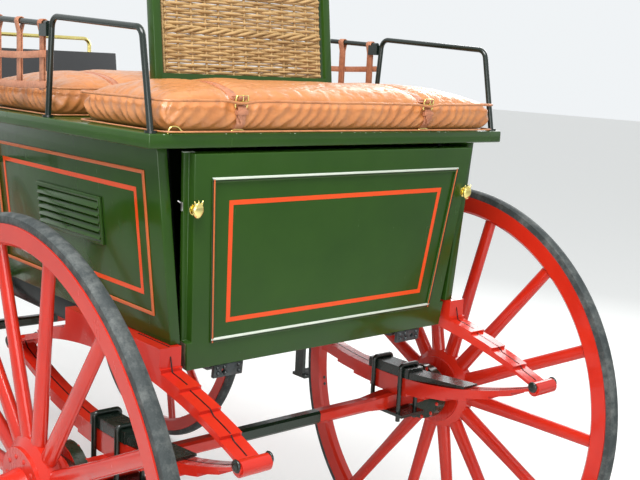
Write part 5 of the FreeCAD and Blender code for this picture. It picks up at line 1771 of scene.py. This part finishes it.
    def stitches(self, name: str, line: Sequence[Vector], x: float) -> None:
        """Sews a row of stitches along both edges of the strap's top run."""
        marks = []
        path = smooth_path(line[4:-8], 12)
        pattern = block("stitch", (-0.0004, -0.0016, -0.0003), (0.0004, 0.0016, 0.0004))
        for edge in (-1, 1):
            for start, end in zip(path[::2], path[1::2]):
                copy = copied(pattern, "stitch")
                turn = Matrix.Rotation(math.atan2(end.z - start.z, end.y - start.y), 4, "X")
                middle = (start + end) / 2 + Vector((edge * (self.strap_width / 2 - 0.0028), 0,
                                                     self.strap_thickness / 2 + 0.0001))
                copy.matrix_world = Matrix.Translation(middle) @ turn
                marks.append(copy)
        bpy.data.objects.remove(pattern)
        stitched = joined(marks, name)
        finished(stitched, Body.CARRIAGE, "strap_leather", Finish.fine_line)


# ------------------------------------------------------------------ backrest


@dataclass
class Backrest:
    """The green backrest frame and its panel of woven willow."""

    row_pitch: float = 0.0073
    rod_radius: float = 0.0043
    stake_pitch: float = 0.0390
    stake_radius: float = 0.0034
    swing: float = 0.0036
    rail_drop: float = 0.046
    wales: tuple[float, float] = (1.510, 1.600)

    def build(self) -> None:
        """Makes the frame and the weave."""
        self.measure()
        frame_piece = softened_node("backrest_frame", 0.0025)
        self.lower_rail(frame_piece)
        finished(frame_piece, Body.CARRIAGE, "green_coachwork", Finish.green)
        weave = joined(self.stakes() + self.rows() + self.borders(), "woven_willow")
        finished(weave, Body.CARRIAGE, "willow", Finish.willow)
        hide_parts("wicker_panel")

    def measure(self) -> None:
        """Reads the panel's slope and edges from its CAD solid."""
        low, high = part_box("wicker_panel")
        vertices = [vertex.co for vertex in frame["nodes"]["wicker_panel"].data.vertices]
        foot = [place.y for place in vertices if place.z < low.z + 0.02]
        head = [place.y for place in vertices if place.z > high.z - 0.02]
        self.foot_y = sum(foot) / len(foot)
        self.head_y = sum(head) / len(head)
        self.slope = (self.head_y - self.foot_y) / (high.z - low.z)
        self.low_z, self.high_z = low.z - self.rail_drop, high.z
        self.foot_y -= self.slope * self.rail_drop
        self.half = high.x

    def lower_rail(self, frame_piece: bpy.types.Object) -> None:
        """Slides the frame's lower rail down its stiles, so that the cushion hides it."""
        inner = self.half - 0.004
        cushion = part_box("rear_cushion")[1].z
        for vertex in frame_piece.data.vertices:
            if abs(vertex.co.x) < inner + 0.006 and cushion - 0.06 < vertex.co.z < cushion + 0.05:
                vertex.co.z -= self.rail_drop
                vertex.co.y -= self.slope * self.rail_drop

    def on_panel(self, x: float, z: float, out: float = 0.0) -> Vector:
        """Returns a place on the panel's middle, moved out of it towards the rear."""
        share = (z - self.low_z) / (self.high_z - self.low_z)
        return Vector((x, self.foot_y + (self.head_y - self.foot_y) * share - out, z))

    def stake_places(self) -> list[float]:
        """Returns where the upright stakes stand across the panel."""
        count = round((2 * self.half - 0.020) / self.stake_pitch)
        start = -self.half + 0.010
        step = (2 * self.half - 0.020) / count
        return [start + index * step for index in range(count + 1)]

    def stakes(self) -> list[bpy.types.Object]:
        """Makes the upright stakes, doubled at both edges."""
        draw = random.Random(5)
        pieces = []
        places = self.stake_places()
        for x in places + [places[0] + 0.0075, places[-1] - 0.0075]:
            lean = draw.uniform(-0.002, 0.002)
            pieces.append(tube("stake", [self.on_panel(x, self.low_z + 0.002), self.on_panel(x + lean, 1.55),
                                         self.on_panel(x, self.high_z - 0.003)], self.stake_radius, sides=1,
                               smooth=4))
        return pieces

    def row_heights(self) -> list[float]:
        """Returns the heights of the plain rows, which leave room for the wales."""
        heights = []
        z = self.low_z + 0.014
        while z < self.high_z - 0.020:
            if all(abs(z - wale) > 0.0080 for wale in self.wales):
                heights.append(z)
            z += self.row_pitch
        return heights

    def rows(self) -> list[bpy.types.Object]:
        """Weaves the plain rows in and out of the stakes."""
        draw = random.Random(11)
        places = self.stake_places()
        pieces = []
        for number, z in enumerate(self.row_heights()):
            points = []
            radius = self.rod_radius * draw.uniform(0.86, 1.08)
            drift = draw.uniform(-0.0008, 0.0008)
            for index, x in enumerate(places):
                way = 1 if (index + number) % 2 else -1
                wobble = draw.uniform(-0.0007, 0.0007)
                points.append(self.on_panel(x, z + drift + wobble, way * self.swing))
                if index < len(places) - 1:
                    middle = (x + places[index + 1]) / 2
                    points.append(self.on_panel(middle, z + drift - wobble, 0.0))
            pieces.append(tube("row", points, radius, sides=1, smooth=3))
        return pieces

    def borders(self) -> list[bpy.types.Object]:
        """Makes the twisted bands across the panel and at its foot and head."""
        pieces = []
        for height in (*self.wales, self.low_z + 0.006, self.high_z - 0.010):
            pieces.extend(self.twisted_band(height))
        return pieces

    def twisted_band(self, height: float) -> list[bpy.types.Object]:
        """Makes three rods that wind round the stakes in long slanting strokes."""
        places = self.stake_places()
        step = places[1] - places[0]
        pieces = []
        for strand in range(3):
            points = []
            count = (len(places) - 1) * 4
            for index in range(count + 1):
                x = places[0] + index * step / 4
                turn = 2 * math.pi * ((x - places[0]) / (3 * step) + strand / 3)
                out = 0.0058 * math.cos(turn)
                rise = 0.0052 * math.sin(turn)
                points.append(self.on_panel(x, height + rise, out))
            pieces.append(tube("strand", points, self.rod_radius, sides=1, smooth=2))
        return pieces


# ------------------------------------------------------------------ rails


@dataclass
class SideRails:
    """The forged seat rails with their leather straps."""

    strap_width: float = 0.019
    thickness: float = 0.0026

    def build(self) -> None:
        """Dresses both rails."""
        for side in Side:
            node_finish("side_rail_" + side.word, Finish.iron)
            self.straps(side)

    def rail_surface(self, side: Side) -> Surface:
        """Returns the skin of one rail."""
        return Surface(frame["nodes"]["side_rail_" + side.word])

    def straps(self, side: Side) -> None:
        """Hangs the upright straps from the guard rail and runs the level ones along outside them."""
        low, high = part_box("side_rail_" + side.word)
        surface = self.rail_surface(side)
        x = (low.x + high.x) / 2
        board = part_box("seat_board")[1].z
        pieces = []
        for y in (0.235, 0.350, 0.465):
            place_y = REAR_Y + y
            top = surface.top(x, place_y, high.z + 0.05, high.z)
            under = surface.hit(Vector((x, place_y, board + 0.09)), Vector((0, 0, 1)),
                                Vector((x, place_y, high.z - 0.02))).z
            pieces.append(self.hanging(x, place_y, top, under, board + 0.060, side))
        level_low, level_high = REAR_Y + 0.205, REAR_Y + 0.590
        for z, end in ((board + 0.135, level_high), (board + 0.070, level_high)):
            pieces.append(self.level(x, level_low, end, z, side))
        finished(joined(pieces, "rail_straps_" + side.word), Body.CARRIAGE, "strap_leather", Finish.strap)

    def hanging(self, x: float, y: float, top: float, under: float, foot: float, side: Side) -> bpy.types.Object:
        """Makes one strap looped over the guard rail, its two ends hanging together."""
        gap = (top - under) / 2 + self.thickness / 2 + 0.0004
        middle = (top + under) / 2
        path = [Vector((x - side.value * 0.0022, y, foot))]
        path.append(Vector((x - side.value * 0.0022, y, under - 0.018)))
        for step in range(9):
            turn = math.radians(180 + 10 - step * 200 / 8)
            path.append(Vector((x + side.value * gap * math.cos(turn), y, middle + gap * math.sin(turn))))
        path.append(Vector((x + side.value * 0.0022, y, under - 0.018)))
        path.append(Vector((x + side.value * 0.0022, y, foot - 0.004)))
        return ribbon("hanging", path, Vector((0, 1, 0)), self.strap_width, self.thickness, 0.0006)

    def level(self, x: float, start: float, end: float, z: float, side: Side) -> bpy.types.Object:
        """Makes one level strap that runs outside the hanging ones with a slight sag."""
        path = []
        for index in range(15):
            share = index / 14
            sag = -0.006 * math.sin(math.pi * share)
            out = side.value * (0.0072 + 0.0016 * math.sin(share * math.pi * 6))
            path.append(Vector((x + out, start + (end - start) * share, z + sag)))
        return ribbon("level", path, Vector((0, 0, 1)), self.strap_width * 0.8, self.thickness, 0.0006)


# ------------------------------------------------------------------ running gear


@dataclass
class RunningGear:
    """Springs, axles, fifth wheel, steps and sockets."""

    line_width: float = 0.0030
    line_lift: float = 0.0004

    def build(self) -> None:
        """Dresses every piece of the carriage's underworks."""
        for node in ("rear_axle", "front_axle"):
            node_finish(node, Finish.axle)
        for end in ("rear", "front"):
            node_finish(end + "_spring_clamps", Finish.iron)
            for side in Side:
                self.spring(f"{end}_spring_{side.word}", Body.CARRIAGE if end == "rear" else Body.FORECARRIAGE)
        for node in ("hinge_lugs", "lamp_sockets", "side_step_right", "side_step_left", "upper_ring",
                     "lower_ring", "kingpin", "splinter_irons", "shaft_irons"):
            node_finish(node, Finish.iron)
        self.eased_timber("upper_bed", Body.CARRIAGE)
        for node in ("lower_bed", "futchells", "splinter_bar"):
            self.eased_timber(node, Body.FORECARRIAGE)
        for node in ("rein_rail", "whip_socket"):
            node_finish(node, Finish.brass)
        self.step_pads()

    def eased_timber(self, node: str, body: Body) -> None:
        """Puts an eased copy in place of one red timber."""
        finished(softened_node(node, 0.0025), body, "red_enamel", Finish.red)

    def spring(self, node: str, body: Body) -> None:
        """Paints a spring red, with a fine dark line along its leaves and dark caps at its eyes."""
        source = frame["nodes"][node]
        node_finish(node, Finish.red)
        low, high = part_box(node)
        middle_x = (low.x + high.x) / 2
        middle_y = (low.y + high.y) / 2
        middle_z = (low.z + high.z) / 2
        surface = Surface(source)
        lines = []
        for top_leaf in (True, False):
            for rear_half in (True, False):
                path = []
                start = 0.075 if rear_half else -0.075
                reach = (high.y - low.y) / 2 - 0.035
                for index in range(30):
                    away = 0.075 + (reach - 0.075) * index / 29
                    y = middle_y + (away if start > 0 else -away)
                    begin = Vector((middle_x, y, high.z + 0.05 if top_leaf else middle_z))
                    hit = surface.tree.ray_cast(begin, Vector((0, 0, -1)))[0]
                    if hit is not None and (hit.z > middle_z) == top_leaf:
                        path.append(hit + Vector((0, 0, self.line_lift)))
                if len(path) > 3:
                    lines.append(ribbon("line", path, Vector((1, 0, 0)), self.line_width, 0.0005, 0.0))
        if lines:
            finished(joined(lines, node + "_line"), body, "black_coachwork", Finish.dark_line)
        self.eye_caps(node, body, low, high, middle_x, middle_z)

    def eye_caps(self, node: str, body: Body, low: Vector, high: Vector, x: float, z: float) -> None:
        """Adds a domed bolt head at both ends of each spring eye."""
        spots = []
        for y in (low.y + 0.0165, high.y - 0.0165):
            spots.append((Vector((low.x, y, z)), Vector((-1, 0, 0))))
            spots.append((Vector((high.x, y, z)), Vector((1, 0, 0))))
        caps = place_bolts(node + "_eye_caps", spots, 0.0132, 0.0050)
        finished(caps, body, "dark_iron", Finish.iron)

    def step_pads(self) -> None:
        """Adds a ribbed rubber pad on each step's tread."""
        for side in Side:
            node = frame["nodes"]["side_step_" + side.word]
            low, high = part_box("side_step_" + side.word)
            tread = [vertex.co for vertex in node.data.vertices if vertex.co.z < low.z + 0.0105]
            x_low, x_high = min(p.x for p in tread), max(p.x for p in tread)
            y_low, y_high = min(p.y for p in tread), max(p.y for p in tread)
            top = max(p.z for p in tread)
            margin = 0.006
            inner = 0.016 if side is Side.RIGHT else margin
            outer = margin if side is Side.RIGHT else 0.016
            pieces = [block("pad", (x_low + inner, y_low + margin, top), (x_high - outer, y_high - margin, top + 0.003),
                            0.0008)]
            count = 7
            for index in range(count):
                y = y_low + margin + (index + 0.5) * (y_high - y_low - 2 * margin) / count
                pieces.append(block("rib", (x_low + inner + 0.004, y - 0.0018, top + 0.003),
                                    (x_high - outer - 0.004, y + 0.0018, top + 0.0048)))
            finished(joined(pieces, "step_pad_" + side.word), Body.CARRIAGE, "solid_rubber", Finish.rubber)


@dataclass
class Wheels:
    """The four wheels' finishes and the fittings on their hubs and rims."""

    bolt_circle: float = 0.070
    bolt_count: int = 12
    bolt_radius: float = 0.0058
    felloe_count: int = 7

    def build(self) -> None:
        """Dresses every wheel."""
        for end in ("rear", "front"):
            for side in Side:
                wheel = f"{end}_wheel_{side.word}"
                node_finish(wheel + "_tyre", Finish.rubber)
                node_finish(wheel + "_spokes", Finish.red)
                node_finish(wheel + "_hub", Finish.hub)
                self.hub_bolts(wheel, side)
                self.rim_rivets(wheel, side)

    def axis(self, wheel: str) -> tuple[Vector, Vector, Vector, Vector]:
        """Returns a wheel's middle, its outward axis and two directions across it."""
        joint = [joint for joint in frame["joints"] if joint["child"] == wheel][0]
        centre = Vector(joint["pos_m"])
        outward = Vector(joint["axis"]).normalized()
        if outward.x * centre.x < 0:
            outward.negate()
        first = Vector((0, 1, 0)).cross(outward).normalized()
        return centre, outward, first, outward.cross(first)

    def hub_bolts(self, wheel: str, side: Side) -> None:
        """Rings both faces of the hub's flange with bolt heads."""
        centre, outward, first, second = self.axis(wheel)
        surface = Surface(frame["nodes"][wheel + "_hub"])
        spots = []
        for way in (1, -1):
            for index in range(self.bolt_count):
                turn = 2 * math.pi * (index + 0.5) / self.bolt_count
                arm = first * math.cos(turn) + second * math.sin(turn)
                start = centre + arm * self.bolt_circle + outward * (way * 0.2)
                place = surface.tree.ray_cast(start, outward * -way)[0]
                if place is not None:
                    spots.append((place - outward * (way * 0.0004), outward * way))
        bolts = place_bolts(wheel + "_hub_bolts", spots, self.bolt_radius, 0.0036)
        finished(bolts, wheel, "red_enamel_hub", Finish.red)

    def rim_rivets(self, wheel: str, side: Side) -> None:
        """Puts a pair of clip bolts beside each felloe joint, on the rim's inner face."""
        centre, outward, first, second = self.axis(wheel)
        surface = Surface(frame["nodes"][wheel + "_spokes"])
        spots = []
        for index in range(self.felloe_count):
            for step in (-0.020, 0.020):
                turn = 2 * math.pi * (index + 0.5) / self.felloe_count + step
                arm = first * math.cos(turn) + second * math.sin(turn)
                start = centre + arm * 0.30
                place = surface.tree.ray_cast(start, arm)[0]
                if place is not None and (place - centre).length > 0.40:
                    spots.append((place + arm * 0.0004, -arm))
        if spots:
            rivets = place_bolts(wheel + "_rim_bolts", spots, 0.0052, 0.0030)
            finished(rivets, wheel, "dark_iron", Finish.iron)


# ------------------------------------------------------------------ front


@dataclass
class Front:
    """The dashboard and shafts."""

    def build(self) -> None:
        """Dresses the front of the cart."""
        self.dashboard()
        for node in ("shaft_right", "shaft_left", "shaft_bar"):
            node_finish(node, Finish.red)

    def dashboard(self) -> None:
        """Covers the dashboard in patent leather."""
        cover = softened_node("dashboard", 0.003)
        finished(cover, Body.CARRIAGE, "black_leather", Finish.patent)


def main() -> None:
    """Builds the cart's looks piece by piece."""
    deselect()
    Groups.build()
    Finish.build()
    Stage().build()
    Coachwork().build()
    Tailboard().build()
    Cushion("rear_cushion", -1, 3.0).build()
    Cushion("front_cushion", 1, 17.0).build()
    Backrest().build()
    SideRails().build()
    RunningGear().build()
    Wheels().build()
    Front().build()
    LOG.info("sizes written")


if __name__ == "__main__":
    main()
